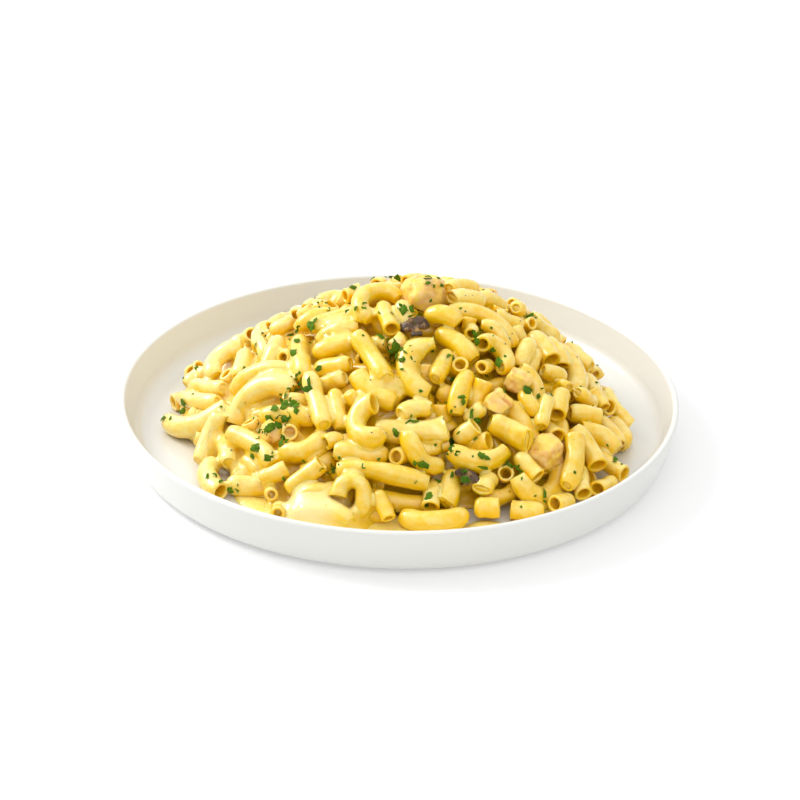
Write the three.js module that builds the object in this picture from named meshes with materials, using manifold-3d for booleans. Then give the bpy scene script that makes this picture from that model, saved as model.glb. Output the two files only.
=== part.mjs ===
// A low-walled ceramic plate heaped with macaroni in cream sauce, with diced chicken and sliced mushrooms.
// Millimetres, +Z up. The origin is the middle of the plate's foot, and -Y is the side nearest the eater.
import * as THREE from "three";
import { mergeVertices } from "three/addons/utils/BufferGeometryUtils.js";
import Module from "manifold-3d";

// Plate
const RIM_RADIUS = 135;
const PLATE_HEIGHT = 24;
const WALL = 3.4; // thickness of the wall at its rounded rim
const FLARE = 3.6; // how much wider the wall is at the rim than at its foot, outside
const HEEL_RADIUS = 6; // rounding between the wall and the underside
const FLOOR_Z = 5; // top of the flat floor
const FLOOR_FILLET = 8; // rounding between the floor and the inner wall
const UNDERSIDE_Z = 1.2; // the underside is this far off the table inside the foot ring
const FOOT_INNER = 92;
const FOOT_OUTER = 101;
const PLATE_SIDES = 56;
const ARC_STEPS = 4;

// Heap
const GAP = 0.3; // between pieces that touch
const HEAP_PEAK = new THREE.Vector2(8, 12);
const HEAP_CENTRE = new THREE.Vector2(0, -7); // middle of the heap's outline on the floor
const OUTLINE_MEAN = 105;
// Waves round the outline: how many to a turn, how far out, and the direction of a crest in degrees.
const OUTLINE_WAVES = [
  { count: 1, size: 2, crest: 35 },
  { count: 2, size: 9, crest: -7 },
  { count: 3, size: 1.5, crest: 35 },
  { count: 4, size: 2.5, crest: -27 },
  { count: 5, size: 2, crest: 35 },
];
const EDGE_HEIGHT = 8; // the outermost noodles lie one deep
const PEAK_HEIGHT = 63; // from there up to the peak
const SLOPE_POWER = 1.6; // 1 is a straight cone, 2 a dome
const SHOULDER = { at: new THREE.Vector2(72, 38), height: 5, reach: 34 };
const MOUND_SIDES = 32;
const MOUND_RINGS = 5;
const MOUND_DEPTH = 6; // the sauced mass between the noodles lies this far under their tops

// Noodles
const NOODLE_DIAMETER = 9.6;
const NOODLE_SIDES = 6;
const NOODLE_STEPS = 3;
const NOODLE_LENGTHS = [30, 48];
const NOODLE_BENDS = [25, 120]; // degrees from one end to the other
const EDGE_SHARES = [0.9, 0.95]; // how far out the edge noodles lie, 1 being the outline
const EDGE_SWING = 60; // how far, in degrees, one may point away from the run of the outline
const NOODLES_ON_TOP = 37;
const NOODLES_ROUND_EDGE = 16;
const GOLDEN_TURN = Math.PI * (3 - Math.sqrt(5));

// Diced chicken, breast of uneven cubes: place in plan, size, how far the middle lies under the heap's
// surface, and its turns about X, Y and Z in degrees.
const CHICKEN = [
  { at: [10.5, 6], size: [21, 18, 19], sunk: 5, turn: [14, -18, 25] },
  { at: [45, -51], size: [13, 12, 12], sunk: 3, turn: [20, 10, 40] },
  { at: [54, -38], size: [11, 10, 10], sunk: 2, turn: [-15, 20, 10] },
  { at: [67, -66], size: [16, 13, 15], sunk: 4, turn: [15, -10, 30] },
  { at: [-1, -28], size: [9, 8, 8], sunk: 2.5, turn: [10, 15, 50] },
  { at: [-58, -56], size: [11, 10, 9], sunk: 3, turn: [-20, 12, 15] },
  { at: [-45, 10], size: [9, 8, 8], sunk: 2.5, turn: [10, 25, -20] },
  { at: [-20, 56], size: [14, 12, 12], sunk: 3, turn: [-22, 8, 35] },
  { at: [42, 50], size: [13, 12, 11], sunk: 3, turn: [-15, -12, 60] },
];
const CUBE_SQUARENESS = 3.2; // power of the superellipsoid: 2 is round, large is square
const CUBE_CELLS = 3;

// Mushroom slices: place in plan, width of the cap, thickness, depth and turns as above.
const MUSHROOM = [
  { at: [7, -21], cap: 15, thick: 4, sunk: 1, turn: [38, 0, 12] },
  { at: [31, -84], cap: 12, thick: 4, sunk: 2, turn: [50, 10, -20] },
  { at: [-45, 60], cap: 14, thick: 4, sunk: 2, turn: [-35, 10, 30] },
];

const white = new THREE.MeshStandardMaterial({ color: 0xf6f5f1, roughness: 0.3, metalness: 0 });
const pasta = new THREE.MeshStandardMaterial({ color: 0xf2d67c, roughness: 0.45, metalness: 0 });
const meat = new THREE.MeshStandardMaterial({ color: 0xe8c48c, roughness: 0.6, metalness: 0 });
const fungus = new THREE.MeshStandardMaterial({ color: 0x6e5238, roughness: 0.5, metalness: 0 });

const wasm = await Module();
wasm.setup();

const degrees = THREE.MathUtils.degToRad;
const mix = THREE.MathUtils.lerp;

// The same run of numbers from 0 to 1 each time.
function randomRun(seed) {
  let state = seed;
  return () => {
    state = (state * 16807) % 2147483647;
    return state / 2147483647;
  };
}

// Points of an arc in a profile, from one angle to another.
function arc(cx, cy, radius, from, to, steps = ARC_STEPS) {
  const points = [];
  for (let i = 0; i <= steps; i++) {
    const angle = degrees(mix(from, to, i / steps));
    points.push(new THREE.Vector2(cx + radius * Math.cos(angle), cy + radius * Math.sin(angle)));
  }
  return points;
}

// A profile of radius and height, turned about the plate's upright axis.
function turned(profile) {
  return new THREE.LatheGeometry(profile, PLATE_SIDES).rotateX(Math.PI / 2);
}

function solidOf(geometry) {
  const bare = geometry.clone();
  bare.deleteAttribute("normal");
  bare.deleteAttribute("uv");
  const merged = mergeVertices(bare, 1e-4);
  return new wasm.Manifold(
    new wasm.Mesh({
      numProp: 3,
      vertProperties: Float32Array.from(merged.attributes.position.array),
      triVerts: Uint32Array.from(merged.index.array),
    }),
  );
}

function geometryOf(solid) {
  const mesh = solid.getMesh();
  const geometry = new THREE.BufferGeometry();
  geometry.setAttribute("position", new THREE.BufferAttribute(mesh.vertProperties, 3));
  geometry.setIndex(new THREE.BufferAttribute(mesh.triVerts, 1));
  return geometry;
}

// Inner side of the plate from the rim down to the middle of the floor, moved into the free space by `off`.
function innerProfile(off) {
  const wallTop = RIM_RADIUS - WALL - off;
  const filletX = RIM_RADIUS - WALL - FLARE - FLOOR_FILLET;
  const filletZ = FLOOR_Z + FLOOR_FILLET;
  return [
    new THREE.Vector2(wallTop, PLATE_HEIGHT - WALL / 2),
    ...arc(filletX, filletZ, FLOOR_FILLET - off, 0, -90),
    new THREE.Vector2(0, FLOOR_Z + off),
  ];
}

function plateGeometry() {
  const wallFoot = RIM_RADIUS - FLARE;
  const profile = [
    new THREE.Vector2(0, UNDERSIDE_Z),
    new THREE.Vector2(FOOT_INNER, UNDERSIDE_Z),
    new THREE.Vector2(FOOT_INNER + UNDERSIDE_Z, 0),
    new THREE.Vector2(FOOT_OUTER, 0),
    ...arc(wallFoot - HEEL_RADIUS, UNDERSIDE_Z + HEEL_RADIUS, HEEL_RADIUS, -90, 0),
    ...arc(RIM_RADIUS - WALL / 2, PLATE_HEIGHT - WALL / 2, WALL / 2, 0, 180),
    ...innerProfile(0).slice(1),
  ];
  return turned(profile);
}

// The free space inside the plate, in which all that lies on it has to fit.
function cavitySolid() {
  const ceiling = FLOOR_Z + EDGE_HEIGHT + PEAK_HEIGHT + 40;
  const profile = innerProfile(GAP);
  const top = [
    new THREE.Vector2(0, ceiling),
    new THREE.Vector2(profile[0].x, ceiling),
  ];
  const upwards = [...top, ...profile].reverse();
  return solidOf(turned(upwards));
}

// How far the heap's outline is from its centre in one direction.
function outlineRadius(angle) {
  return OUTLINE_WAVES.reduce(
    (radius, wave) => radius + wave.size * Math.cos(wave.count * (angle - degrees(wave.crest))),
    OUTLINE_MEAN,
  );
}

// A place in the heap: 0 is the peak and 1 the outline, along a straight line in plan.
function planPoint(angle, share) {
  const radius = outlineRadius(angle);
  const edge = new THREE.Vector2(Math.cos(angle), Math.sin(angle)).multiplyScalar(radius).add(HEAP_CENTRE);
  return new THREE.Vector2().lerpVectors(HEAP_PEAK, edge, share);
}

// The share of the way from the peak to the outline at a place in plan.
function shareAt(place) {
  let low = 0;
  let high = 2;
  for (let i = 0; i < 24; i++) {
    const share = (low + high) / 2;
    const middle = new THREE.Vector2().lerpVectors(HEAP_PEAK, HEAP_CENTRE, share);
    const arm = place.clone().sub(middle);
    if (arm.length() > share * outlineRadius(arm.angle())) low = share;
    else high = share;
  }
  return high;
}

// Height of the noodles' tops over a place in plan.
function topAt(place) {
  const share = Math.min(shareAt(place), 1);
  const far = place.distanceTo(SHOULDER.at) / SHOULDER.reach;
  const shoulder = SHOULDER.height * Math.exp(-far * far);
  return FLOOR_Z + EDGE_HEIGHT + PEAK_HEIGHT * (1 - share ** SLOPE_POWER) + shoulder;
}

function slopeFrame(place) {
  const step = 2;
  const rise = (dx, dy) => topAt(new THREE.Vector2(place.x + dx, place.y + dy));
  const gx = (rise(step, 0) - rise(-step, 0)) / (2 * step);
  const gy = (rise(0, step) - rise(0, -step)) / (2 * step);
  const normal = new THREE.Vector3(-gx, -gy, 1).normalize();
  const along = new THREE.Vector3(1, 0, gx).normalize();
  const across = new THREE.Vector3().crossVectors(normal, along);
  return { along, across, normal };
}

// The mass between the noodles, from the floor up to just under their tops.
function moundSolid() {
  const floor = FLOOR_Z + GAP;
  const points = [HEAP_PEAK.x, HEAP_PEAK.y, topAt(HEAP_PEAK) - MOUND_DEPTH];
  const faces = [];
  const at = (ring, side) => 1 + (ring - 1) * MOUND_SIDES + (side % MOUND_SIDES);
  for (let ring = 1; ring <= MOUND_RINGS + 1; ring++) {
    const share = (0.97 * Math.min(ring, MOUND_RINGS)) / MOUND_RINGS;
    for (let side = 0; side < MOUND_SIDES; side++) {
      const place = planPoint((side / MOUND_SIDES) * 2 * Math.PI, share);
      const height = ring > MOUND_RINGS ? floor : topAt(place) - MOUND_DEPTH;
      points.push(place.x, place.y, height);
    }
  }
  const bottom = points.length / 3;
  points.push(HEAP_PEAK.x, HEAP_PEAK.y, floor);
  for (let side = 0; side < MOUND_SIDES; side++) {
    faces.push(0, at(1, side), at(1, side + 1));
    faces.push(bottom, at(MOUND_RINGS + 1, side + 1), at(MOUND_RINGS + 1, side));
    for (let ring = 1; ring <= MOUND_RINGS; ring++) {
      faces.push(at(ring, side), at(ring + 1, side), at(ring + 1, side + 1));
      faces.push(at(ring, side), at(ring + 1, side + 1), at(ring, side + 1));
    }
  }
  const geometry = new THREE.BufferGeometry();
  geometry.setAttribute("position", new THREE.Float32BufferAttribute(points, 3));
  geometry.setIndex(faces);
  return solidOf(geometry);
}

// One noodle draped over the heap: an arc in the slope's plane, kept half a noodle under the tops.
function noodleSolid({ place, heading, length, bend }) {
  const { along, across } = slopeFrame(place);
  const points = [];
  for (let i = 0; i <= NOODLE_STEPS; i++) {
    const half = i / NOODLE_STEPS - 0.5;
    const turn = half * bend;
    const forward = (length * Math.sin(turn)) / bend;
    const aside = (length * (1 - Math.cos(turn))) / bend;
    const a = forward * Math.cos(heading) - aside * Math.sin(heading);
    const b = forward * Math.sin(heading) + aside * Math.cos(heading);
    const x = place.x + a * along.x + b * across.x;
    const y = place.y + a * along.y + b * across.y;
    points.push(new THREE.Vector3(x, y, topAt(new THREE.Vector2(x, y)) - NOODLE_DIAMETER / 2));
  }
  const section = new THREE.Shape(
    arc(0, 0, NOODLE_DIAMETER / 2, 0, 360 - 360 / NOODLE_SIDES, NOODLE_SIDES - 1),
  );
  const path = new THREE.CatmullRomCurve3(points);
  return solidOf(new THREE.ExtrudeGeometry(section, { steps: NOODLE_STEPS, extrudePath: path }));
}

// Where the noodles lie: a spiral from the peak down, then one ring of them round the edge.
function noodleLayout() {
  const random = randomRun(2024);
  const layout = [];
  for (let i = 0; i < NOODLES_ON_TOP; i++) {
    const share = 0.86 * Math.sqrt((i + 0.7) / NOODLES_ON_TOP);
    layout.push({ angle: i * GOLDEN_TURN, share, heading: random() * Math.PI * 2 });
  }
  for (let i = 0; i < NOODLES_ROUND_EDGE; i++) {
    const angle = (i / NOODLES_ROUND_EDGE) * 2 * Math.PI;
    const swing = degrees(mix(-EDGE_SWING, EDGE_SWING, random()));
    layout.push({ angle, share: mix(...EDGE_SHARES, random()), heading: angle + Math.PI / 2 + swing });
  }
  return layout.map(({ angle, share, heading }) => ({
    place: planPoint(angle, share),
    heading,
    length: mix(...NOODLE_LENGTHS, random()),
    bend: degrees(mix(...NOODLE_BENDS, random())),
  }));
}

// A cube with rounded, slightly uneven sides.
function chickenGeometry({ size }) {
  const geometry = new THREE.BoxGeometry(2, 2, 2, CUBE_CELLS, CUBE_CELLS, CUBE_CELLS);
  const position = geometry.attributes.position;
  const point = new THREE.Vector3();
  for (let i = 0; i < position.count; i++) {
    point.fromBufferAttribute(position, i);
    const power = CUBE_SQUARENESS;
    const norm = (Math.abs(point.x) ** power + Math.abs(point.y) ** power + Math.abs(point.z) ** power) ** (1 / power);
    const uneven = 1 + 0.05 * Math.sin(2.3 * point.x + 1.7 * point.y + size[0]) * Math.cos(2.9 * point.z - point.y);
    point.multiplyScalar(uneven / norm);
    position.setXYZ(i, (point.x * size[0]) / 2, (point.y * size[1]) / 2, (point.z * size[2]) / 2);
  }
  return geometry;
}

// A slice through cap and stem, lying flat. Filled, its outline has no hollows beside the stem.
function mushroomGeometry({ cap, thick }, filled = false) {
  const stem = cap * 0.16;
  const foot = cap * 0.42;
  const lip = cap * 0.5;
  const crown = cap * 0.42;
  const outline = new THREE.Shape();
  outline.moveTo(-stem, -foot);
  outline.lineTo(stem, -foot);
  if (!filled) {
    outline.lineTo(stem * 0.8, -cap * 0.08);
    outline.lineTo(cap * 0.32, -cap * 0.12);
  }
  outline.lineTo(lip, 0);
  outline.bezierCurveTo(lip, cap * 0.34, cap * 0.22, crown, 0, crown);
  outline.bezierCurveTo(-cap * 0.22, crown, -lip, cap * 0.34, -lip, 0);
  if (!filled) {
    outline.lineTo(-cap * 0.32, -cap * 0.12);
    outline.lineTo(-stem * 0.8, -cap * 0.08);
  }
  outline.closePath();
  const bevel = thick * 0.2;
  return new THREE.ExtrudeGeometry(outline, {
    depth: thick - 2 * bevel,
    bevelThickness: bevel,
    bevelSize: bevel,
    bevelOffset: -bevel,
    bevelSegments: 1,
    curveSegments: 4,
  }).translate(0, 0, bevel - thick / 2);
}

// A mesh lying in the heap's surface, sunk by part of its height. Its room is the same form, swelled by the gap.
function laid(name, material, { at, sunk, turn }, geometry, roomGeometry = geometry) {
  const mesh = new THREE.Mesh(geometry, material);
  mesh.name = name;
  mesh.position.set(at[0], at[1], topAt(new THREE.Vector2(...at)) - sunk);
  mesh.rotation.set(...turn.map(degrees));
  mesh.updateMatrixWorld(true);
  const room = roomGeometry.clone();
  room.computeBoundingBox();
  const size = room.boundingBox.getSize(new THREE.Vector3());
  const swell = (length) => 1 + (3 * GAP) / length;
  room.scale(swell(size.x), swell(size.y), swell(size.z));
  mesh.userData.room = solidOf(room.applyMatrix4(mesh.matrixWorld));
  return mesh;
}

function heapGeometry(pieces) {
  let heap = moundSolid();
  for (const noodle of noodleLayout()) heap = heap.add(noodleSolid(noodle));
  heap = heap.intersect(cavitySolid());
  for (const piece of pieces) heap = heap.subtract(piece.userData.room);
  const bodies = heap.decompose().sort((a, b) => b.volume() - a.volume());
  return geometryOf(bodies[0]);
}

const model = new THREE.Group();

const plate = new THREE.Mesh(plateGeometry(), white);
plate.name = "plate";
model.add(plate);

const toppings = new THREE.Group();
CHICKEN.forEach((piece, i) => {
  toppings.add(laid(`chicken_${i + 1}`, meat, piece, chickenGeometry(piece)));
});
MUSHROOM.forEach((piece, i) => {
  toppings.add(laid(`mushroom_${i + 1}`, fungus, piece, mushroomGeometry(piece), mushroomGeometry(piece, true)));
});
model.add(toppings);

const heap = new THREE.Mesh(heapGeometry(toppings.children), pasta);
heap.name = "pasta_heap";
model.add(heap);

export default model;
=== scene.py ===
import itertools
import math

import bmesh
import bpy
import numpy as np
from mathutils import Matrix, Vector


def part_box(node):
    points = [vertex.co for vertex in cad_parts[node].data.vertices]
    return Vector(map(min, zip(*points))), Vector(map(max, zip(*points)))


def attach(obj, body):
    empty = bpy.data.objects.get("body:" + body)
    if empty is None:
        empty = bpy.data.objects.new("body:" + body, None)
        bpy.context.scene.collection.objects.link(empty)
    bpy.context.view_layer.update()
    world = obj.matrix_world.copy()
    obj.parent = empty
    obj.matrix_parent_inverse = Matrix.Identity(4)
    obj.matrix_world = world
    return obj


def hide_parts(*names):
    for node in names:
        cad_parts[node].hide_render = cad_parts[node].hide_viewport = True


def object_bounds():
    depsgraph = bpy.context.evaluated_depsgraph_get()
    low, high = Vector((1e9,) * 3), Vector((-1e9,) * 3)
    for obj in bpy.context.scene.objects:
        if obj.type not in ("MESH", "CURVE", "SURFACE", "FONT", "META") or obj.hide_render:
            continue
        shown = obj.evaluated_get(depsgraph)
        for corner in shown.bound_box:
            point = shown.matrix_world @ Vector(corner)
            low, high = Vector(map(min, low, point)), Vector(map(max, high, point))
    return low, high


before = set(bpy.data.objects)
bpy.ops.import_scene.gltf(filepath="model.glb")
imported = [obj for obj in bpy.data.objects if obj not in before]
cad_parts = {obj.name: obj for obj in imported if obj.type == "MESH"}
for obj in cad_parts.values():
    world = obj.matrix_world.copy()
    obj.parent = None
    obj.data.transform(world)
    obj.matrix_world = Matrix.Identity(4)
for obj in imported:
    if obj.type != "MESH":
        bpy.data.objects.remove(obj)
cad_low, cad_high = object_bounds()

import openvdb
from mathutils import Matrix, Vector
from mathutils.bvhtree import BVHTree

# A low-walled white plate heaped with macaroni in cream sauce, with diced chicken, mushrooms and parsley.
# Shapes are worked out in millimetres and made in metres. -Y is the side nearest the eater, its front.
MM = 0.001
BODY = "root"

# ---------------------------------------------------------------- plate
RIM_RADIUS = cad_high.x / MM
PLATE_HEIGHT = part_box("plate")[1].z / MM
WALL = 3.4
FLARE = 3.6
HEEL_RADIUS = 6.0
FLOOR_Z = 5.0
FLOOR_FILLET = 8.0
UNDERSIDE_Z = 1.2
FOOT_INNER, FOOT_OUTER = 92.0, 101.0
FOOT_ROUND = 1.0
FLOOR_RADIUS = RIM_RADIUS - WALL - FLARE - FLOOR_FILLET
PLATE_SIDES = 240

# ---------------------------------------------------------------- heap
PEAK = np.array([8.0, 12.0])
CENTRE = np.array([0.0, -7.0])
OUTLINE_MEAN = 105.0
OUTLINE_WAVES = ((1, 2, 35), (2, 9, -7), (3, 1.5, 35), (4, 2.5, -27), (5, 2, 35))  # count, size, crest
EDGE_HEIGHT = 8.0
PEAK_HEIGHT = 63.0
SLOPE_POWER = 1.6
SHOULDER_AT, SHOULDER_HEIGHT, SHOULDER_REACH = (72.0, 38.0), 5.0, 34.0
CORE_DEPTH = 15.0  # the thick sauce under the noodles is this far in from the slope
CORE_SHARE = 0.93  # and ends this far out from the peak, where 1 is the heap's outline
STEEPEST = 0.5  # least upward share of the slope's direction that depths are reckoned with

NOODLE = 8.2  # usual outer diameter with its coat of sauce
NODES = 12  # points that a noodle is worked out with
WIDENS = 0.45  # how much wider a noodle gets one way when it is squashed the other way

# Noodles that show from the front, as they lie on the heap. Each end has its place in plan and how far the
# noodle's skin stands out of the slope there. Then: how far the middle bulges to the left of the way from
# the first end to the second, how far it arches up out of the slope, the noodle's width, and how its ends
# look: o is an open cut end, c one closed by sauce, p one pressed flat.
PLACED_NOODLES = (
    # along the front edge, from the left
    (-88, -54, 1, -77, -77, 0, -3, 0, 10, "co"),
    (-77, -74, -1, -63, -76, -1, 0, 0, 9.5, "co"),
    (-62, -78, 1, -52, -76, 2, 0, 0, 8.5, "co"),
    (-60, -82, -2, -57, -87, 1, 0, 0, 6.5, "co"),
    (-54, -91, -1, -52, -97, 0, 0, 0, 6.8, "co"),
    (-50, -86, 0, -34, -82, 3, 0, 0, 8.4, "co"),
    (-26, -95, 3, -18, -101, 0, 9.6, 0, 8.6, "oc"),
    (-19, -103, 1, -45, -98, 1, -2, 0, 9.4, "cc"),
    (-10, -95, -2, -2, -102, 1, 0, 0, 7.4, "co"),
    (3, -101, 0, 30, -96, 0, -3, 0, 10, "cc"),
    (26, -82, 0, 24, -95, 0, 0, 0, 9.5, "cp"),
    (42, -81, 0, 36, -88, 2, 0, 0, 9, "cp"),
    (36, -94, 1, 46, -93, 1, 0, 0, 9.6, "co"),
    (40, -90, -4, 58, -82, -2, -2, 0, 9, "cc"),
    (52, -93, -1, 66, -89, -1, 0, 0, 9, "oc"),
    (56, -71, 1, 62, -80, 2, 0, 0, 8, "co"),
    (53, -83, 0, 77, -67, 0, -11, 0, 10.5, "cc"),
    (79, -57, 5, 77, -80, 0, 2, 0, 9.4, "oc"),
    (78, -80, -1, 69, -88, 1, 0, 0, 8.5, "co"),
    (84, -47, 0, 92, -62, 2, 2, 0, 9.5, "co"),
    (87, -64, -3, 85, -78, 1, 0, 0, 9, "co"),
    (101, -63, -2, 92, -72, 1, 0, 0, 8.4, "co"),
    (99, -46, -3, 103, -60, 1, 0, 0, 8.4, "co"),
    # front, second row
    (-27, -85, 2, 14, -88, 2, 0, 0, 10, "cc"),
    (-14, -94, -4, 17, -94, -4, -2, 0, 9, "cc"),
    (-28, -77, 1, -4, -79, 1, 1, 0, 9.4, "cc"),
    (6, -77, 0, -2, -80, 2, 0, 0, 8.5, "co"),
    (3, -72, 2, 20, -81, 1, -5, 0, 9.4, "cc"),
    (-10, -69, 1, 22, -67, 3, -2, 0, 11, "cp"),
    (2, -64, 2, 14, -58, 2, 2, 0, 9, "cc"),
    (24, -77, 2, 49, -73, 1, -4, 0, 10.4, "cp"),
    (27, -69, -1, 35, -64, 3, 0, 0, 9, "co"),
    (43, -61, 3, 58, -69, 3, 2, 0, 10.8, "cp"),
    (51, -51, -1, 63, -62, 0, 2, 0, 9.6, "cp"),
    (36, -42, 1, 28, -60, 1, -4, 0, 9, "cc"),
    (44, -31, -3, 37, -38, 2, 0, 0, 6.8, "co"),
    (36, -55, -3, 39, -44, 3, 0, 0, 9.4, "co"),
    (57, -30, 0, 65, -46, 0, 5, 0, 8.6, "cc"),
    (69, -42, 1, 64, -57, 1, 0, 0, 8, "cc"),
    (79, -30, 1, 73, -46, 1, 0, 0, 9.6, "co"),
    (72, -47, -8, 74, -58, 2, 0, 0, 8.2, "co"),
    (31, -60, 0, 40, -57, 1, 0, 0, 7.6, "cc"),
    (-11, -60, 3, -7, -73, 1, -11, 0, 10, "oc"),
    (-41, -38, 2, -35, -66, 1, -2, 0, 9, "cc"),
    (-31, -48, -1, -27, -66, -1, 0, 0, 9, "cc"),
    (-54, -68, 1, -36, -66, 0, -5, 0, 10.6, "cc"),
    (-54, -56, -3, -51, -62, 1, 0, 0, 8, "co"),
    (-63, -48, 1, -40, -56, 1, 1, 0, 9.8, "cc"),
    (-84, -43, 0, -81, -60, 0, 1, 0, 9, "cc"),
    (-80, -49, 1, -57, -72, 1, 2, 0, 10, "cc"),
    (-73, -60, -3, -66, -70, -3, 0, 0, 9, "cc"),
    # left
    (-112, -12, 0, -82, -31, 1, -7, 0, 10.4, "cc"),
    (-82, -36, 1, -92, -51, 0, -3, 0, 9, "cc"),
    (-108, 3, 0, -89, -22, 0, -2, 0, 9, "cc"),
    (-103, 7, 0, -86, -13, 0, -1, 0, 8.6, "cc"),
    (-80, -38, 1, -51, -37, 2, 9, 0, 11.6, "oc"),
    (-80, -21, 1, -51, -32, 1, 7, 0, 9.4, "cc"),
    (-77, 6, 0, -79, -12, 0, 0, 0, 8.8, "cc"),
    (-61, -1, 1, -65, -17, 1, 1, 0, 10, "co"),
    (-49, -6, 0, -44, -36, 1, -2, 0, 9.4, "cc"),
    (-91, -2, 1, -79, 14, 2, 5, 3, 8.8, "cc"),
    (-107, 17, 0, -100, 23, 0, 0, 0, 8.4, "cc"),
    (-63, 12, 1, -54, 15, 1, 0, 0, 8.4, "cc"),
    (-41, -31, 0, -25, -35, 0, 0, 0, 8.8, "cc"),
    (-42, -39, -1, -26, -43, -1, 0, 0, 8.8, "cc"),
    (-41, -21, 0, -23, -22, 0, 1, 0, 9.6, "cc"),
    (-72, -38, -3, -56, -47, -3, 0, 0, 9, "cc"),
    (-70, -27, -4, -58, -20, -4, 0, 0, 9, "cc"),
    # top
    (-15, -12, 1, -1, 3, 1, 12, 2, 8.8, "cc"),
    (-9, -5, 2, -4, -23, 3, 0, 0, 8.6, "co"),
    (-19, 17, 0, -27, 12, 3, 0, 0, 8.2, "co"),
    (-42, -5, 2, -20, -4, 2, 1, 0, 10.4, "cc"),
    (-22, -23, 2, -8, -49, 2, 2, 0, 10, "cc"),
    (-22, -43, 0, -2, -57, 1, -2, 0, 10, "oc"),
    (1, -7, 2, 9, -21, 1, -3, 0, 9.2, "cc"),
    (13, -12, 1, 25, -19, 1, 3, 0, 9.4, "cc"),
    (22, -15, 1, 36, -31, 0, -2, 0, 10, "cc"),
    (16, -29, 3, 13, -53, 2, -11, 0, 11.2, "pc"),
    (22, -31, 0, 18, -46, 0, 0, 0, 8.8, "cc"),
    (20, -48, -3, 29, -52, -3, 0, 0, 9, "cc"),
    (25, 3, 2, 39, 10, 3, 0, 0, 11, "pc"),
    (24, 16, 1, 37, 26, 3, 2, 0, 9, "cc"),
    (40, 18, 1, 54, 21, 1, 2, 0, 9, "cc"),
    (24, -8, 1, 57, -11, 0, 9, 0, 9.6, "cc"),
    (38, -26, 1, 48, -34, 0, 10, 0, 8.6, "oc"),
    # right
    (65, 6, 1, 74, -8, 2, 1, 0, 10.4, "co"),
    (60, -9, 1, 59, -25, -1, 0, 0, 8.4, "cc"),
    (79, 14, 1, 86, -19, 1, 6, 0, 10.8, "cc"),
    (47, 5, 0, 60, 8, 0, 1, 0, 9, "cc"),
    (54, 20, 2, 63, 25, 2, 0, 0, 8.4, "cc"),
    (64, 22, 1, 78, 20, 1, 3, 0, 9.8, "cc"),
    (62, 20, -3, 64, 12, 2, 0, 0, 7.2, "co"),
    (84, 26, 1, 93, 14, 3, 1, 0, 8.4, "cc"),
    (71, -18, -1, 80, -14, 0, 0, 0, 8.4, "cc"),
    (84, -22, 0, 95, -16, 0, 0, 0, 8.2, "cc"),
    (84, -37, -1, 95, -33, 3, 0, 0, 10, "co"),
    (102, -1, -6, 102, -12, 2, 0, 0, 8.6, "co"),
    (93, 8, 0, 98, -7, 0, 2, 0, 9, "cc"),
    (88, -42, 0, 102, -46, 1, 3, 0, 10, "oc"),
    (106, -12, -1, 109, -28, -1, 3, 0, 9.6, "cc"),
    (99, -20, -3, 105, -37, 1, 2, 0, 9, "co"),
)

TOPPINGS = [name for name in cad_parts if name.startswith(("chicken", "mushroom"))]


def topping_place(name):
    """Middle and mean size of a piece of chicken or mushroom."""
    low, high = (np.array(corner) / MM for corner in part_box(name))
    return (low + high) / 2, (high - low).mean()


TOPPING_PLACES = {name: topping_place(name) for name in TOPPINGS}


# ================================================================ form of the heap
def outline_radius(angle):
    """How far the heap's outline is from its centre in one direction."""
    waves = (size * np.cos(count * (angle - math.radians(crest))) for count, size, crest in OUTLINE_WAVES)
    return OUTLINE_MEAN + sum(waves)


def heap_place(angle, share):
    """The place in plan that is a share of the way from the peak to the outline."""
    edge = CENTRE + outline_radius(angle) * np.array([math.cos(angle), math.sin(angle)])
    return PEAK + (edge - PEAK) * share


HALVINGS = 22  # each halves the range in which a place's share is looked for


def heap_share(x, y):
    """0 at the peak and 1 at the outline, along straight lines in plan."""
    low, high = np.zeros_like(x), np.full_like(x, 2.0)
    for _ in range(HALVINGS):
        share = (low + high) / 2
        arm_x = x - (PEAK[0] + (CENTRE[0] - PEAK[0]) * share)
        arm_y = y - (PEAK[1] + (CENTRE[1] - PEAK[1]) * share)
        beyond = np.hypot(arm_x, arm_y) > share * outline_radius(np.arctan2(arm_y, arm_x))
        low, high = np.where(beyond, share, low), np.where(beyond, high, share)
    return high


def exact_top(x, y):
    """The heap's height, from its peak down to its edge, with a shoulder at the back on the right."""
    share = np.minimum(heap_share(x, y), 1.0)
    far = np.hypot(x - SHOULDER_AT[0], y - SHOULDER_AT[1]) / SHOULDER_REACH
    cone = FLOOR_Z + EDGE_HEIGHT + PEAK_HEIGHT * (1 - share**SLOPE_POWER)
    return cone + SHOULDER_HEIGHT * np.exp(-far * far)


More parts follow.
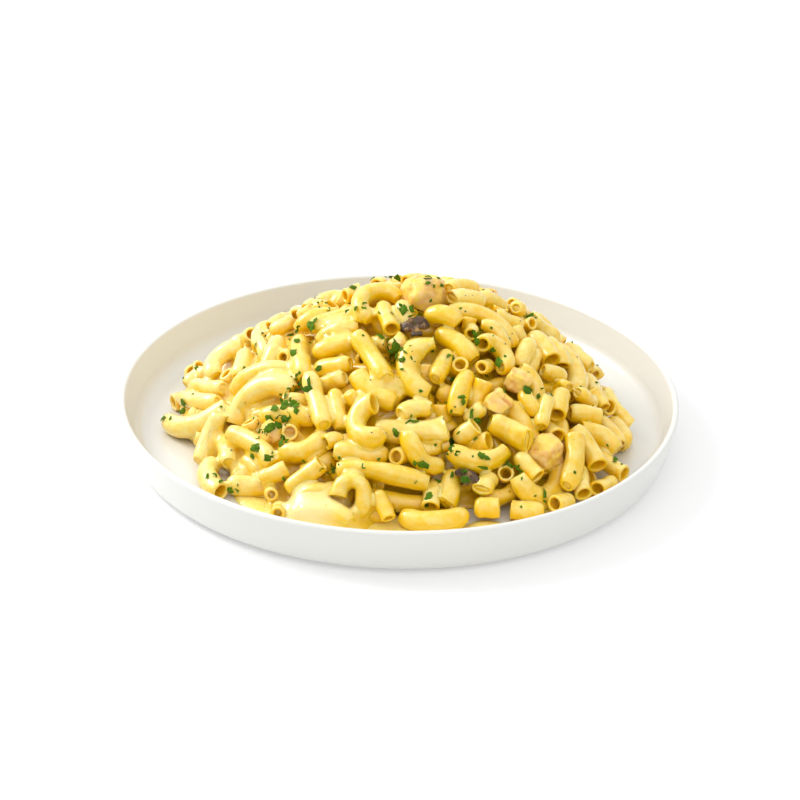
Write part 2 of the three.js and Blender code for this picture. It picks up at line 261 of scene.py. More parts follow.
class HeapForm:
    """The heap's top as a grid of heights, 1 mm apart, for quick reading."""

    REACH = 130
    ROUNDINGS = 6

    def __init__(self):
        side = np.arange(-self.REACH, self.REACH + 1, dtype=float)
        x, y = np.meshgrid(side, side, indexing="ij")
        self.height = self.rounded(exact_top(x, y))
        self.slope_x, self.slope_y = np.gradient(self.height)
        self.share = heap_share(x, y)
        self.core = self.height - CORE_DEPTH / np.maximum(self.rise(x, y), STEEPEST)

    def rounded(self, height):
        """Softens the peak and the corner at the outline."""
        for _ in range(self.ROUNDINGS):
            total = 4 * height[1:-1, 1:-1] + height[2:, 1:-1] + height[:-2, 1:-1]
            height[1:-1, 1:-1] = (total + height[1:-1, 2:] + height[1:-1, :-2]) / 8
        return height

    def read(self, grid, x, y):
        """The value of a grid at places between its points."""
        u = np.clip(x + self.REACH, 0, 2 * self.REACH - 1.001)
        v = np.clip(y + self.REACH, 0, 2 * self.REACH - 1.001)
        i, j = u.astype(int), v.astype(int)
        fu, fv = u - i, v - j
        near = grid[i, j] * (1 - fu) + grid[i + 1, j] * fu
        far = grid[i, j + 1] * (1 - fu) + grid[i + 1, j + 1] * fu
        return near * (1 - fv) + far * fv

    def top(self, x, y):
        return self.read(self.height, x, y)

    def normal(self, x, y):
        """The direction square to the slope."""
        slope_x, slope_y = self.read(self.slope_x, x, y), self.read(self.slope_y, x, y)
        way = np.stack([-slope_x, -slope_y, np.ones_like(x)], -1)
        return way / np.linalg.norm(way, axis=-1, keepdims=True)

    def rise(self, x, y):
        """The upward share of that direction: 1 where the heap is level, and less on its slopes."""
        return self.normal(x, y)[..., 2]

    def surface(self, x, y, out):
        """Points that stand `out` over the top, measured square to the slope."""
        points = np.stack([x, y, self.top(x, y)], -1)
        return points + self.normal(x, y) * np.asarray(out)[..., None]


heap = HeapForm()


# ================================================================ where the noodles lie
LEAST_BULGE = 0.3  # a noodle that bulges less is straight
LIFT_SPREAD = 0.8  # below 1 the lift in a noodle's middle reaches further towards its ends


def drape(start, end, bulge, lift, width):
    """The points of a noodle that lies on the heap: an arc in plan, held at its depth under the slope."""
    x1, y1, out1 = start
    x2, y2, out2 = end
    chord = math.hypot(x2 - x1, y2 - y1)
    t = np.linspace(0, 1, NODES)
    along, across = t * chord, np.zeros(NODES)
    if abs(bulge) > LEAST_BULGE:
        radius = (chord * chord / 4 + bulge * bulge) / (2 * abs(bulge))
        half = math.asin(min(1.0, chord / 2 / radius))
        if abs(bulge) > chord / 2:
            half = math.pi - half
        angle = (2 * t - 1) * half
        along = chord / 2 + radius * np.sin(angle)
        across = math.copysign(1, bulge) * (radius * np.cos(angle) - radius * math.cos(half))
    ux, uy = (x2 - x1) / chord, (y2 - y1) / chord
    x = x1 + along * ux - across * uy
    y = y1 + along * uy + across * ux
    lifted = lift * np.sin(math.pi * t) ** LIFT_SPREAD
    return heap.surface(x, y, out1 + (out2 - out1) * t + lifted - width / 2)


FILL_THROWS = 14000
FILL_ROUNDS = 2
FILL_PROUD = 1.5  # how far a thrown noodle may stand out of the slope once it has settled
FILL_SPARE = 1.5  # and how much more when it lands
FILL_SHARE = 0.96  # how far out noodles are thrown, where 1 is the heap's outline
LANDED_SHARE = 0.965  # and how far out their ends may come to lie
LENGTHS = (34.0, 31.0, 22.0, 16.0, 14.0)  # whole noodles first, then broken ones in the gaps that are left
LENGTHS_AT = (0.0, 0.35, 0.55, 0.75, 1.0)
LENGTH_SPREAD = 3.0
SHORTEST_LENGTH = LENGTHS[-1] - 1
BENDS = (10.0, 150.0)  # degrees that a noodle turns through from end to end
THINNEST, THICKEST, WIDTH_SPREAD = 6.8, 10.0, 0.7
ENDS, END_ODDS = ("oo", "oc", "co", "cc", "cp"), (0.22, 0.23, 0.23, 0.2, 0.12)
BARE_BELOW = 20.0  # shorter noodles have both ends open
SAG = 0.5  # how far a noodle gives way to what it lies on, as a share of the gap
CROWDED = 0.5  # how near it may come to a noodle with its own place, as a share of their radii
TOPPING_CLEAR, WIDTH_CLEAR = 0.45, 0.4  # and to a topping, as shares of its size and the noodle's width


class Pile:
    """How high the things lie that were thrown on the plate so far, on a grid of 1 mm."""

    SLOPES = np.linspace(-1.3, 1.3, 27)[:, None]  # that a noodle may come to rest at
    SHOULDER, SHOULDER_DROP = 0.7, 0.28  # how far beside its middle line it also rests, and up, in radii

    def __init__(self):
        self.height = np.where(heap.share < CORE_SHARE, heap.core, FLOOR_Z)
        self.height = np.maximum(self.height, FLOOR_Z)

    def under(self, x, y, radius):
        """The highest thing under each point of a noodle."""
        reach = radius * self.SHOULDER
        found = heap.read(self.height, x, y)
        for dx, dy in ((reach, 0), (-reach, 0), (0, reach), (0, -reach)):
            found = np.maximum(found, heap.read(self.height, x + dx, y + dy) - radius * self.SHOULDER_DROP)
        return found

    def rest(self, x, y, radius):
        """The heights at which a noodle comes to rest: leaning on what is under it and sagging a little."""
        held = self.under(x, y, radius) + radius
        run = np.hypot(x - x[0], y - y[0])
        run = run - run.mean()
        level = (held - self.SLOPES * run).max(1)
        best = level.argmin()
        stiff = level[best] + self.SLOPES[best] * run
        return stiff - SAG * np.clip(stiff - held, 0, 9)

    def add(self, line, radius):
        """Raises the pile to the upper side of a noodle that lies on it."""
        reach = int(radius) + 1
        t = np.linspace(0, NODES - 1, 3 * NODES)
        places = np.stack([np.interp(t, np.arange(NODES), line[:, k]) for k in range(3)], 1)
        for x, y, z in places:
            i, j = int(round(x)) + heap.REACH, int(round(y)) + heap.REACH
            if not (reach < i < 2 * heap.REACH - reach and reach < j < 2 * heap.REACH - reach):
                continue
            side = np.arange(-reach, reach + 1)
            far = (i + side - heap.REACH - x)[:, None] ** 2 + (j + side - heap.REACH - y)[None] ** 2
            dome = np.where(far < radius * radius, z + np.sqrt(np.maximum(radius * radius - far, 0)), 0)
            window = self.height[i - reach : i + reach + 1, j - reach : j + reach + 1]
            np.maximum(window, dome, out=window)


def thrown_line(rng, pile, length, bend, width):
    """A noodle dropped somewhere on the pile, as a line of points, or None where it misses the heap."""
    angle = rng.uniform(0, 2 * math.pi)
    share = math.sqrt(rng.uniform(0, 1)) * FILL_SHARE
    heading = rng.uniform(0, 2 * math.pi)
    x0, y0 = heap_place(angle, share)
    turn = np.linspace(-bend / 2, bend / 2, NODES)
    along = np.cumsum(np.cos(turn)) * length / NODES
    across = np.cumsum(np.sin(turn)) * length / NODES
    along, across = along - along.mean(), across - across.mean()
    for _ in range(2):
        x = x0 + along * math.cos(heading) - across * math.sin(heading)
        y = y0 + along * math.sin(heading) + across * math.cos(heading)
        if heap.read(heap.share, x, y).max() > LANDED_SHARE:
            return None
        z = pile.rest(x, y, width / 2)
        run = math.hypot(x[-1] - x[0], y[-1] - y[0]) + 1e-6
        steep = abs(z[-1] - z[0]) / run
        along = along / math.sqrt(1 + steep * steep)
    return np.stack([x, y, z], 1)


def stands_proud(line, width):
    """Whether a thrown noodle stands too far out of the slope."""
    rise = heap.rise(line[:, 0], line[:, 1])
    proud = (line[:, 2] - heap.top(line[:, 0], line[:, 1])) * rise + width / 2
    return proud.max() > FILL_PROUD + FILL_SPARE


def runs_into(line, width, taken, taken_radius):
    """Whether a thrown noodle runs into one that has its own place, or into a topping."""
    gap = np.sqrt(((line[::2, None] - taken[None]) ** 2).sum(-1)) / (taken_radius + width / 2)
    if gap.min() < CROWDED:
        return True
    for middle, size in TOPPING_PLACES.values():
        if np.linalg.norm(line - middle, axis=1).min() < size * TOPPING_CLEAR + width * WIDTH_CLEAR:
            return True
    return False


def fill_noodles(rng, placed, lying):
    """More noodles, dropped one on another under and between the ones that have their own place."""
    pile = Pile()
    for line, width, _ in lying:
        pile.add(line, width / 2)
    taken = np.concatenate([line for line, _, _ in placed])
    taken_radius = np.repeat([width / 2 for _, width, _ in placed], NODES)
    made = []
    throws = FILL_THROWS
    for throw in range(throws):
        usual = np.interp(throw / throws, LENGTHS_AT, LENGTHS)
        length = max(rng.normal(usual, LENGTH_SPREAD), SHORTEST_LENGTH)
        bend = math.radians(rng.uniform(*BENDS)) * rng.choice([-1, 1])
        width = float(np.clip(rng.normal(NOODLE, WIDTH_SPREAD), THINNEST, THICKEST))
        ends = str(rng.choice(ENDS, p=END_ODDS)) if length > BARE_BELOW else "oo"
        line = thrown_line(rng, pile, length, bend, width)
        if line is None or stands_proud(line, width) or runs_into(line, width, taken, taken_radius):
            continue
        made.append((line, width, ends))
        pile.add(line, width / 2)
    return made


def near_pairs(points, owner, reach):
    """Pairs of points of different owners that are closer than reach, found by cells of that size."""
    rows = 256
    cell = np.floor(points / reach).astype(np.int64) + rows // 4
    key = (cell[:, 0] * rows + cell[:, 1]) * rows + cell[:, 2]
    order = np.argsort(key, kind="stable")
    sorted_key = key[order]
    firsts, seconds = [], []
    for dx, dy, dz in itertools.product((-1, 0, 1), repeat=3):
        wanted = key + (dx * rows + dy) * rows + dz
        low = np.searchsorted(sorted_key, wanted, "left")
        high = np.searchsorted(sorted_key, wanted, "right")
        count = high - low
        first = np.repeat(np.arange(len(points)), count)
        offset = np.arange(count.sum()) - np.repeat(np.cumsum(count) - count, count)
        second = order[np.repeat(low, count) + offset]
        keep = first < second
        firsts.append(first[keep])
        seconds.append(second[keep])
    i, j = np.concatenate(firsts), np.concatenate(seconds)
    keep = owner[i] != owner[j]
    i, j = i[keep], j[keep]
    close = ((points[i] - points[j]) ** 2).sum(-1) < reach * reach
    return i[close], j[close]


FIRM_HOLD, LOOSE_HOLD = 3.0, 0.15  # how firmly placed and thrown noodles stay where they are
SETTLE_STEPS, QUICK_STEPS = 110, 60
PAIRS_EVERY, PAIRS_REACH = 8, 14.0  # steps between two searches for noodles that are near, and how near
TOUCHING = 0.95  # noodles touch this far in, since a cooked one gives, as a share of their radii
HASTE = 1.1  # how much of an overlap one step takes away
STIFFNESS = 0.75  # how much of its own shape a noodle takes back in a step
HEFT = 0.15  # what every noodle resists a push with, besides how firmly it stays
DRAWN_BACK, DRAWN_BY_HOLD = 0.02, 0.08  # how far it goes back to its place in a step, and more when held
TOPPING_HALF, NOODLE_HALF = 0.46, 0.92  # how near it may come to a topping, as shares of size and radius
TOPPING_PUSH = 0.6  # how much of an overlap with a topping one step takes away


def push_apart(x, radius, weight, first, second):
    """Moves points of two noodles that overlap, the lighter one more."""
    gap = x[second] - x[first]
    distance = np.sqrt((gap**2).sum(-1)) + 1e-9
    overlap = (radius[first] + radius[second]) * TOUCHING - distance
    hit = overlap > 0
    a, b = first[hit], second[hit]
    push = gap[hit] / distance[hit][:, None] * overlap[hit][:, None]
    share = weight[a] / (weight[a] + weight[b])
    touched = np.maximum(np.bincount(a, minlength=len(x)) + np.bincount(b, minlength=len(x)), 1)
    for axis in range(3):
        moved = np.bincount(b, (1 - share) * push[:, axis], len(x))
        moved -= np.bincount(a, share * push[:, axis], len(x))
        x[:, axis] += HASTE * moved / np.sqrt(touched)


def push_off_toppings(x, radius):
    """Moves points of noodles out of the chicken and mushrooms, which stay where they are."""
    for middle, size in TOPPING_PLACES.values():
        away = x - middle
        far = np.sqrt((away**2).sum(-1)) + 1e-9
        inside = np.maximum(size * TOPPING_HALF + radius * NOODLE_HALF - far, 0)
        x += away / far[:, None] * inside[:, None] * TOPPING_PUSH


def keep_on_plate(x, radius, loose):
    """Holds thrown noodles between the core and the slope, and all of them inside the plate."""
    rise = np.maximum(heap.rise(x[:, 0], x[:, 1]), STEEPEST)
    top = heap.top(x[:, 0], x[:, 1])
    lowest = top - (CORE_DEPTH - 0.5 * radius) / rise
    highest = top - (radius - FILL_PROUD) / rise
    x[:, 2] = np.where(loose, np.clip(x[:, 2], lowest, highest), x[:, 2])
    x[:, 2] = np.maximum(x[:, 2], FLOOR_Z + radius)
    plan = np.hypot(x[:, 0], x[:, 1])
    limit = np.minimum(FLOOR_RADIUS + FLOOR_FILLET * 0.5 - radius, plan)
    x[:, :2] *= (limit / np.maximum(plan, 1e-6))[:, None]


def own_shape(shape, rest):
    """Each noodle's own shape, turned and moved to lie as near as it can to where its points are."""
    middle = shape.mean(1, keepdims=True)
    spin = np.einsum("nki,nkj->nij", rest, shape - middle)
    u, _, vt = np.linalg.svd(spin)
    u[:, :, 2] *= np.sign(np.linalg.det(u @ vt))[:, None]
    return np.einsum("nki,nij->nkj", rest, u @ vt) + middle


def settle(lines, widths, hold, steps):
    """Pushes the noodles apart until they only touch, each keeping its shape and staying near its place."""
    lines, hold = np.array(lines), np.asarray(hold)
    rest = lines - lines.mean(1, keepdims=True)
    radius = np.repeat(np.asarray(widths) / 2, NODES)
    owner = np.repeat(np.arange(len(lines)), NODES)
    weight = np.repeat(1.0 / (HEFT + hold), NODES)
    pull = (DRAWN_BACK + DRAWN_BY_HOLD * hold)[:, None, None]
    loose = np.repeat(hold < 1, NODES)
    x = lines.reshape(-1, 3).copy()
    for step in range(steps):
        if step % PAIRS_EVERY == 0:
            first, second = near_pairs(x, owner, PAIRS_REACH)
        push_apart(x, radius, weight, first, second)
        push_off_toppings(x, radius)
        keep_on_plate(x, radius, loose)
        shape = x.reshape(lines.shape)
        shape = shape + STIFFNESS * (own_shape(shape, rest) - shape)
        shape = shape + pull * (lines - shape)
        x = np.round(shape.reshape(-1, 3), 6)
    return x.reshape(lines.shape)


SWELL, SWELLS = 0.035, 1.3  # how much a noodle's width varies, and how often along it
FLATTEST = 0.14  # how far a noodle may be squashed all along
DENTS, DENT_REACH = (0, 0, 0.1, 0.22), 0.16  # how far it may be squashed in one place, and over which share
CLOSED_END = (0.74, 0.95)  # shares of the width at the last points of an end that sauce closes
PRESSED_END = (0.66, 0.5, 0.32, 0.18)  # how squashed the last points of a pressed end are
SHADED_FROM, SHADED_OVER = 6.0, 9.0  # depth from which a noodle is painted darker as shade, and over which it gets so
TONE_VARIES, TONE_LIT_SIDE = 0.6, 0.8  # how much paler some noodles are by chance, and those on the left, towards the window, partly for more cream and partly as painted light
LEFT_FROM, LEFT_OVER = -40.0, 50.0
INSIDE = (PEAK[0], PEAK[1], 20)  # the middle of the heap, towards which noodles are mostly squashed
PRESSED_INWARDS = 1.2  # how much that counts against a chance way when a noodle is squashed


class Noodle:
    """One noodle: its middle line, and how wide and how squashed it is along it."""

    def __init__(self, line, width, ends, rng):
        t = np.linspace(0, 1, NODES)
        self.line, self.width, self.ends = line, width, ends
        self.half = width / 2 * (1 + SWELL * np.sin(2 * math.pi * (SWELLS * t + rng.uniform(0, 1))))
        self.flat = np.full(NODES, rng.uniform(0.0, FLATTEST))
        self.flat += rng.choice(DENTS) * np.exp(-(((t - rng.uniform(0.2, 0.8)) / DENT_REACH) ** 2))
        self.flat_way = self.squashed_way(rng)
        middle = line.mean(0)
        # Partly more cream and partly painted light: noodles on the window side are paler.
        paler = float(np.clip((LEFT_FROM - middle[0]) / LEFT_OVER, 0, 1))
        self.tone = TONE_VARIES * rng.uniform(0, 1) + TONE_LIT_SIDE * paler
        # Painted shade: a noodle lying deeper under the slope is coloured darker.
        depth = heap.top(line[:, 0], line[:, 1]) - line[:, 2]
        self.deep = np.clip((depth - SHADED_FROM) / SHADED_OVER, 0, 1)
        for end, shape in zip(ends, (slice(None), slice(None, None, -1))):
            if end == "c":
                self.half[shape][:2] *= CLOSED_END
            if end == "p":
                self.flat[shape][:4] = np.maximum(self.flat[shape][:4], PRESSED_END)

    def squashed_way(self, rng):
        """The way it is squashed, square to its line: mostly towards the inside of the heap."""
        away = self.line.mean(0) - INSIDE
        way = rng.normal(size=3) + PRESSED_INWARDS * away / np.linalg.norm(away)
        tangent = np.gradient(self.line, axis=0)
        tangent /= np.linalg.norm(tangent, axis=1, keepdims=True)
        way = way - (tangent @ way)[:, None] * tangent
        return way / np.linalg.norm(way, axis=1, keepdims=True)


def noodle_layout():
    """All the noodles: the placed ones, and rounds of thrown ones that settle with them."""
    rng = np.random.default_rng(31)
    placed = []
    for x1, y1, out1, x2, y2, out2, bulge, lift, width, ends in PLACED_NOODLES:
        placed.append((drape((x1, y1, out1), (x2, y2, out2), bulge, lift, width), width, ends))
    every = placed
    steps = SETTLE_STEPS
    for _ in range(FILL_ROUNDS):
        every = every + fill_noodles(rng, placed, every[len(placed) :])
        hold = [FIRM_HOLD] * len(placed) + [LOOSE_HOLD] * (len(every) - len(placed))
        widths = [width for _, width, _ in every]
        lines = settle([line for line, _, _ in every], widths, hold, steps)
        every = [(line, width, ends) for line, (_, width, ends) in zip(lines, every)]
    return [Noodle(line, width, ends, rng) for line, width, ends in every]


# ================================================================ sauce between the noodles
def smooth_min(a, b, blend):
    """The nearer of two distances, rounded where they meet."""
    near = np.maximum(blend - np.abs(a - b), 0) / blend
    return np.minimum(a, b) - near * near * blend / 4


def smooth_max(a, b, blend):
    """The farther of two distances, rounded where they meet."""
    return -smooth_min(-a, -b, blend)


WAVE_SPREAD = (0.7, 1.4)  # how unequal the waves are that make up a noise
NOISE_TO_ONE = 1.6  # brings it to about 1 at most


def soft_noise(points, size, seed, waves=14):
    """Smooth uneven values of about -1 to 1, with lumps of the given size."""
    rng = np.random.default_rng(seed)
    way = rng.normal(size=(waves, 3))
    number = 2 * math.pi / size / 2 * rng.uniform(*WAVE_SPREAD, waves)
    way *= (number / np.linalg.norm(way, axis=1))[:, None]
    phase = rng.uniform(0, 2 * math.pi, waves)
    total = np.zeros(points.shape[:-1])
    for k in range(waves):
        total += np.cos(points @ way[k] + phase[k])
    return total * math.sqrt(2 / waves) / NOISE_TO_ONE


def tube_reading(points, noodle):
    """Where points are in a noodle: out from its skin, out past its nearer end, in from it, which end."""
    line = noodle.line
    way = line[1:] - line[:-1]
    length = np.linalg.norm(way, axis=1)
    way = way / length[:, None]
    offset = points[:, None] - line[:-1]
    run = np.einsum("nsk,sk->ns", offset, way)
    held = np.clip(run, 0, length)
    gap = (offset**2).sum(-1) - 2 * run * held + held * held
    near = gap.argmin(1)
    pick = (np.arange(len(points)), near)
    run, held = run[pick], held[pick]
    starts = np.concatenate([[0], np.cumsum(length)])
    beyond = np.where(near == 0, -run, -99.0)
    beyond = np.where(near == len(length) - 1, np.maximum(beyond, run - length[-1]), beyond)
    past = np.maximum(beyond, 0) * np.where(near == 0, -1, 1)
    arm = offset[pick] - way[near] * (held + past)[:, None]
    node = near + (held > length[near] / 2)
    flat, across = noodle.flat[node], noodle.flat_way[node]
    wide = 1 / (1 + WIDENS * flat)
    lean = (arm * across).sum(-1) * (1 / (1 - flat) - wide)
    arm = arm * wide[:, None] + across * lean[:, None]
    skin = (np.linalg.norm(arm, axis=-1) - noodle.half[node]) * (1 - 0.5 * flat)
    done = starts[near] + held
    return skin, beyond, np.minimum(done, starts[-1] - done), done > starts[-1] / 2


class SauceField:
    """Distances to the sauce's surface on a grid of small cells, in millimetres, negative in the sauce."""

    FAR = 30.0
    MARGIN = 6.0

    def __init__(self, cell):
        self.cell = cell
        reach = FLOOR_RADIUS + self.MARGIN
        self.low = np.array([-reach, -reach, FLOOR_Z - 2.4 * cell])
        high = np.array([reach, reach, FLOOR_Z + EDGE_HEIGHT + PEAK_HEIGHT + self.MARGIN])
        self.shape = np.ceil((high - self.low) / cell).astype(int)
        self.value = np.full(self.shape, self.FAR, np.float32)

    def cells(self, low, high):
        """The slices of the grid in a box, and the places of its cells."""
        first = np.maximum(np.floor((low - self.low) / self.cell).astype(int), 0)
        last = np.minimum(np.ceil((high - self.low) / self.cell).astype(int) + 1, self.shape)
        axes = [self.low[k] + np.arange(first[k], last[k]) * self.cell for k in range(3)]
        places = np.stack(np.meshgrid(*axes, indexing="ij"), -1)
        return tuple(slice(f, e) for f, e in zip(first, last)), places

    def everywhere(self):
        return self.cells(self.low, self.low + self.shape * self.cell)

    def join(self, where, distance, blend):
        """Adds a shape, rounded where it meets what is there."""
        self.value[where] = smooth_min(self.value[where], distance, blend)

    def polygons(self):
        """The surface as points and faces of four or three corners."""
        grid = openvdb.FloatGrid(self.FAR)
        grid.copyFromArray(self.value)
        points, triangles, quads = grid.convertToPolygons(isovalue=0.0, adaptivity=0.2)
        return points * self.cell + self.low, triangles, quads


SAUCE_CELL = 1.2
SAUCE_BLEND = 3.6
SAUCE_SHY = 0.42  # how far the sauce stays inside a noodle's skin on the whole
SAUCE_VARIES = 0.3  # and how much that changes from place to place
SHY_AT_ENDS, SHY_REACH = 1.3, 4.0  # it also stays clear of an open cut end, this far along
BORE_CLEAR = 6.5  # how far in from a cut end the bore is empty
BORE_WALL = 0.5  # what the empty bore leaves of the noodle's skin
END_CLEAR = 1.5
END_ROUND = 1.5
END_PLUG = 0.9  # how far the sauce stands out of a closed end
BED_DEPTH, BED_REACH = 0.28, 0.42  # the sauce that chicken lies in, as shares of the piece's size

POOL = (  # middle in plan, reach and depth of the thick sauce that ran together at the front
    (-40, -92, 15, 6.5),
    (-20, -99, 11, 5.2),
    (-54, -84, 10, 3.4),
    (4, -98, 9, 2.6),
)
POOL_BELOW = -1.5  # the pool's height away from its middles, under the plate's floor
POOL_LUMPS = 0.9

# The noodles lying there are coated more thickly, and run together more.
DRAPED_AT, DRAPED_REACH = (-36, -94), (18, 10)
DRAPED_UP, DRAPED_FADE = 1.8, 9.0  # up to this many times the height over which it fades
DRAPE_DEPTH, DRAPE_BLEND = 1.1, 2.0

# On the side towards the window more sauce fills the gaps between the noodles.
FULLER_FROM, FULLER_TO, FULLER_BY = -15.0, -60.0, 7.5
SAUCE_SHADED_FROM, SAUCE_SHADED_OVER = 3.0, 7.0  # depth from which the sauce is painted darker as shade, and over which it gets so
SHARE_LENGTH = 90  # turns shares of the way from the peak to the outline into about millimetres
COVER_LUMPS, COVER_SEED = 26.0, 5  # where the sauce clings more and less, and a finer change over it
FINE_LUMPS, FINE_SEED, FINE_SHARE = 9.0, 6, 0.35
COVER_ACROSS, COVER_LIMITS = 90, (-0.45, 0.6)  # it also clings more on the left than on the right
BELOW_FLOOR = 0.05  # how far the sauce goes into the plate


def pool_depth(x, y):
    """How high the thick sauce at the front stands over the plate's floor."""
    depth = np.full(x.shape, POOL_BELOW)
    for cx, cy, reach, deep in POOL:
        depth += deep * np.exp(-((x - cx) ** 2 + (y - cy) ** 2) / reach**2)
    return depth


def draped(x, y, z):
    """1 where the sauce lies thick over the lowest noodles at the front, down to 0 where it doesn't."""
    u = (x - DRAPED_AT[0]) / DRAPED_REACH[0]
    v = (y - DRAPED_AT[1]) / DRAPED_REACH[1]
    return np.exp(-((u * u + v * v) ** 2)) * np.clip(DRAPED_UP - (z - FLOOR_Z) / DRAPED_FADE, 0, 1)


def fuller(x):
    """How much higher the sauce fills the gaps."""
    return FULLER_BY * np.clip((x - FULLER_FROM) / (FULLER_TO - FULLER_FROM), 0, 1)


def coat_noodles(field, noodles, thick):
    """Joins the noodles to the sauce, and returns the bores that stay empty."""
    bores = []
    for noodle in noodles:
        margin = noodle.width / 2 + SAUCE_BLEND
        where, spots = field.cells(noodle.line.min(0) - margin, noodle.line.max(0) + margin)
        skin, beyond, inwards, second = tube_reading(spots.reshape(-1, 3), noodle)
        shape = spots.shape[:3]
        is_open = np.where(second, noodle.ends[1] == "o", noodle.ends[0] == "o")
        cap = np.where(is_open, beyond, beyond - END_PLUG)
        near_end = np.clip(1 - inwards / SHY_REACH, 0, 1) * is_open
        distance = smooth_max(skin + SHY_AT_ENDS * near_end, cap, END_ROUND).reshape(shape)
        field.join(where, distance, SAUCE_BLEND + DRAPE_BLEND * thick[where])
        if "o" in noodle.ends:
            bore = np.maximum(np.maximum(skin + BORE_WALL, inwards - BORE_CLEAR), beyond - END_CLEAR)
            bores.append((where, np.where(is_open, bore, 9.0).reshape(shape)))
    return bores


def bed_chicken(field):
    """Joins a bed of sauce under each piece of chicken."""
    for name in TOPPINGS:
        if name.startswith("mushroom"):
            continue
        middle, size = TOPPING_PLACES[name]
        sunk = middle - heap.normal(middle[:1], middle[1:2])[0] * size * BED_DEPTH
        where, spots = field.cells(sunk - size, sunk + size)
        field.join(where, np.linalg.norm(spots - sunk, axis=-1) - size * BED_REACH, SAUCE_BLEND)


def sauce_surface(noodles, cell):
    """The core under the noodles, the pool at the front, and what clings to noodles and chicken."""
    field = SauceField(cell)
    _, places = field.everywhere()
    x, y, z = places[..., 0], places[..., 1], places[..., 2]
    plan = x[:, :, 0], y[:, :, 0]
    core = (z - heap.read(heap.core, *plan)[..., None]) * heap.rise(*plan)[..., None] - fuller(x)
    outside = ((heap.read(heap.share, *plan) - CORE_SHARE) * SHARE_LENGTH)[..., None]
    thick = draped(x, y, z)
    pool = z - FLOOR_Z - pool_depth(x, y) - POOL_LUMPS * soft_noise(places, 12.0, 8) * thick
    field.value = smooth_min(np.maximum(core, outside), pool, SAUCE_BLEND).astype(np.float32)
    bores = coat_noodles(field, noodles, thick)
    bed_chicken(field)
    cover = soft_noise(places, COVER_LUMPS, COVER_SEED)
    cover = cover + FINE_SHARE * soft_noise(places, FINE_LUMPS, FINE_SEED)
    cover = cover - np.clip(x / COVER_ACROSS, *COVER_LIMITS)
    drape = DRAPE_DEPTH * thick * (0.75 + 0.25 * soft_noise(places, 14.0, 12))
    field.value += SAUCE_SHY - SAUCE_VARIES * cover - drape
    for where, bore in bores:
        field.value[where] = np.maximum(field.value[where], -bore)
    field.value = np.maximum(field.value, FLOOR_Z - BELOW_FLOOR - z).astype(np.float32)
    return field.polygons()


def keep_values(mesh, values):
    """Keeps a value for each point of a mesh under a name."""
    for name, value in values.items():
        layer = mesh.attributes.new(name, "FLOAT", "POINT")
        layer.data.foreach_set("value", value.astype(np.float32))


def sauce_mesh(noodles, cell):
    """The thick sauce between the noodles, with the painted shade for how deep each point lies, and how
    much of it ran together.
    """
    points, triangles, quads = sauce_surface(noodles, cell)
    mesh = mesh_of("sauce", points, [*triangles.tolist(), *quads.tolist()])
    x, y, z = points.T
    pooled = draped(x, y, z)
    # Painted shade: sauce lying deep in the gaps is coloured darker.
    deep = np.clip((heap.top(x, y) - z - SAUCE_SHADED_FROM - 0.6 * fuller(x)) / SAUCE_SHADED_OVER, 0, 1)
    keep_values(mesh, {"deep": deep * (1 - pooled), "pooled": pooled})
    mesh.shade_smooth()
    return mesh


# ================================================================ making meshes and node trees
def mesh_of(name, points, faces):
    """A mesh from points in millimetres."""
    mesh = bpy.data.meshes.new(name)
    mesh.from_pydata((np.asarray(points) * MM).tolist(), [], faces)
    mesh.update()
    return mesh


def shown(name, mesh, material, stands_for=()):
    """A piece of the plate of food, made from a finished mesh."""
    mesh.materials.clear()
    mesh.materials.append(material)
    piece = bpy.data.objects.new(name, mesh)
    bpy.context.scene.collection.objects.link(piece)
    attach(piece, BODY)
    if stands_for:
        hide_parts(*stands_for)
    return piece


def new_tree(name, kind, sockets):
    """A node group with named inputs and outputs: (name, type, default or None), outputs marked by '>'.

    Returns the group, its inputs to read from and its outputs to plug into.
    """
    tree = bpy.data.node_groups.new(name, kind)
    for label, socket_type, default in sockets:
        way = "OUTPUT" if label.startswith(">") else "INPUT"
        socket = tree.interface.new_socket(label.lstrip(">"), in_out=way, socket_type=socket_type)
        if default is not None:
            socket.default_value = default
    start = tree.nodes.new("NodeGroupInput")
    end = tree.nodes.new("NodeGroupOutput")
    return tree, start.outputs, end.inputs


def plug(tree, socket, value):
    """Links a socket to another node's output, or sets its own value."""
    if isinstance(value, bpy.types.NodeSocket):
        tree.links.new(value, socket)
    elif value is not None:
        socket.default_value = value


def node_in(tree, kind, inputs=(), **settings):
    """Adds a node and fills its inputs by name or place."""
    node = tree.nodes.new(kind)
    for key, value in settings.items():
        setattr(node, key, value)
    pairs = inputs.items() if isinstance(inputs, dict) else enumerate(inputs)
    for key, value in pairs:
        if isinstance(key, str):
            socket = next(s for s in node.inputs if s.name == key and s.enabled)
        else:
            socket = node.inputs[key]
        plug(tree, socket, value)
    return node


def add(tree, kind, inputs=(), out=0, **settings):
    """Adds a node with its inputs filled, and returns one of its outputs."""
    outputs = [s for s in node_in(tree, kind, inputs, **settings).outputs if s.enabled]
    return outputs[out] if isinstance(out, int) else next(s for s in outputs if s.name == out)


def maths(tree, operation, *values):
    return add(tree, "ShaderNodeMath", values, operation=operation)


def vector_maths(tree, operation, *values):
    return add(tree, "ShaderNodeVectorMath", values, operation=operation)


def scaled(tree, vector, scale):
    return add(tree, "ShaderNodeVectorMath", {0: vector, "Scale": scale}, operation="SCALE")


def attribute_in(tree, name, data_type="FLOAT"):
    """A named attribute in a geometry tree."""
    return add(tree, "GeometryNodeInputNamedAttribute", {"Name": name}, data_type=data_type)


def kept(tree, geometry, name, value, data_type="FLOAT", domain="POINT"):
    """Stores a value with the geometry under a name."""
    inputs = {"Geometry": geometry, "Name": name, "Value": value}
    return add(tree, "GeometryNodeStoreNamedAttribute", inputs, data_type=data_type, domain=domain)


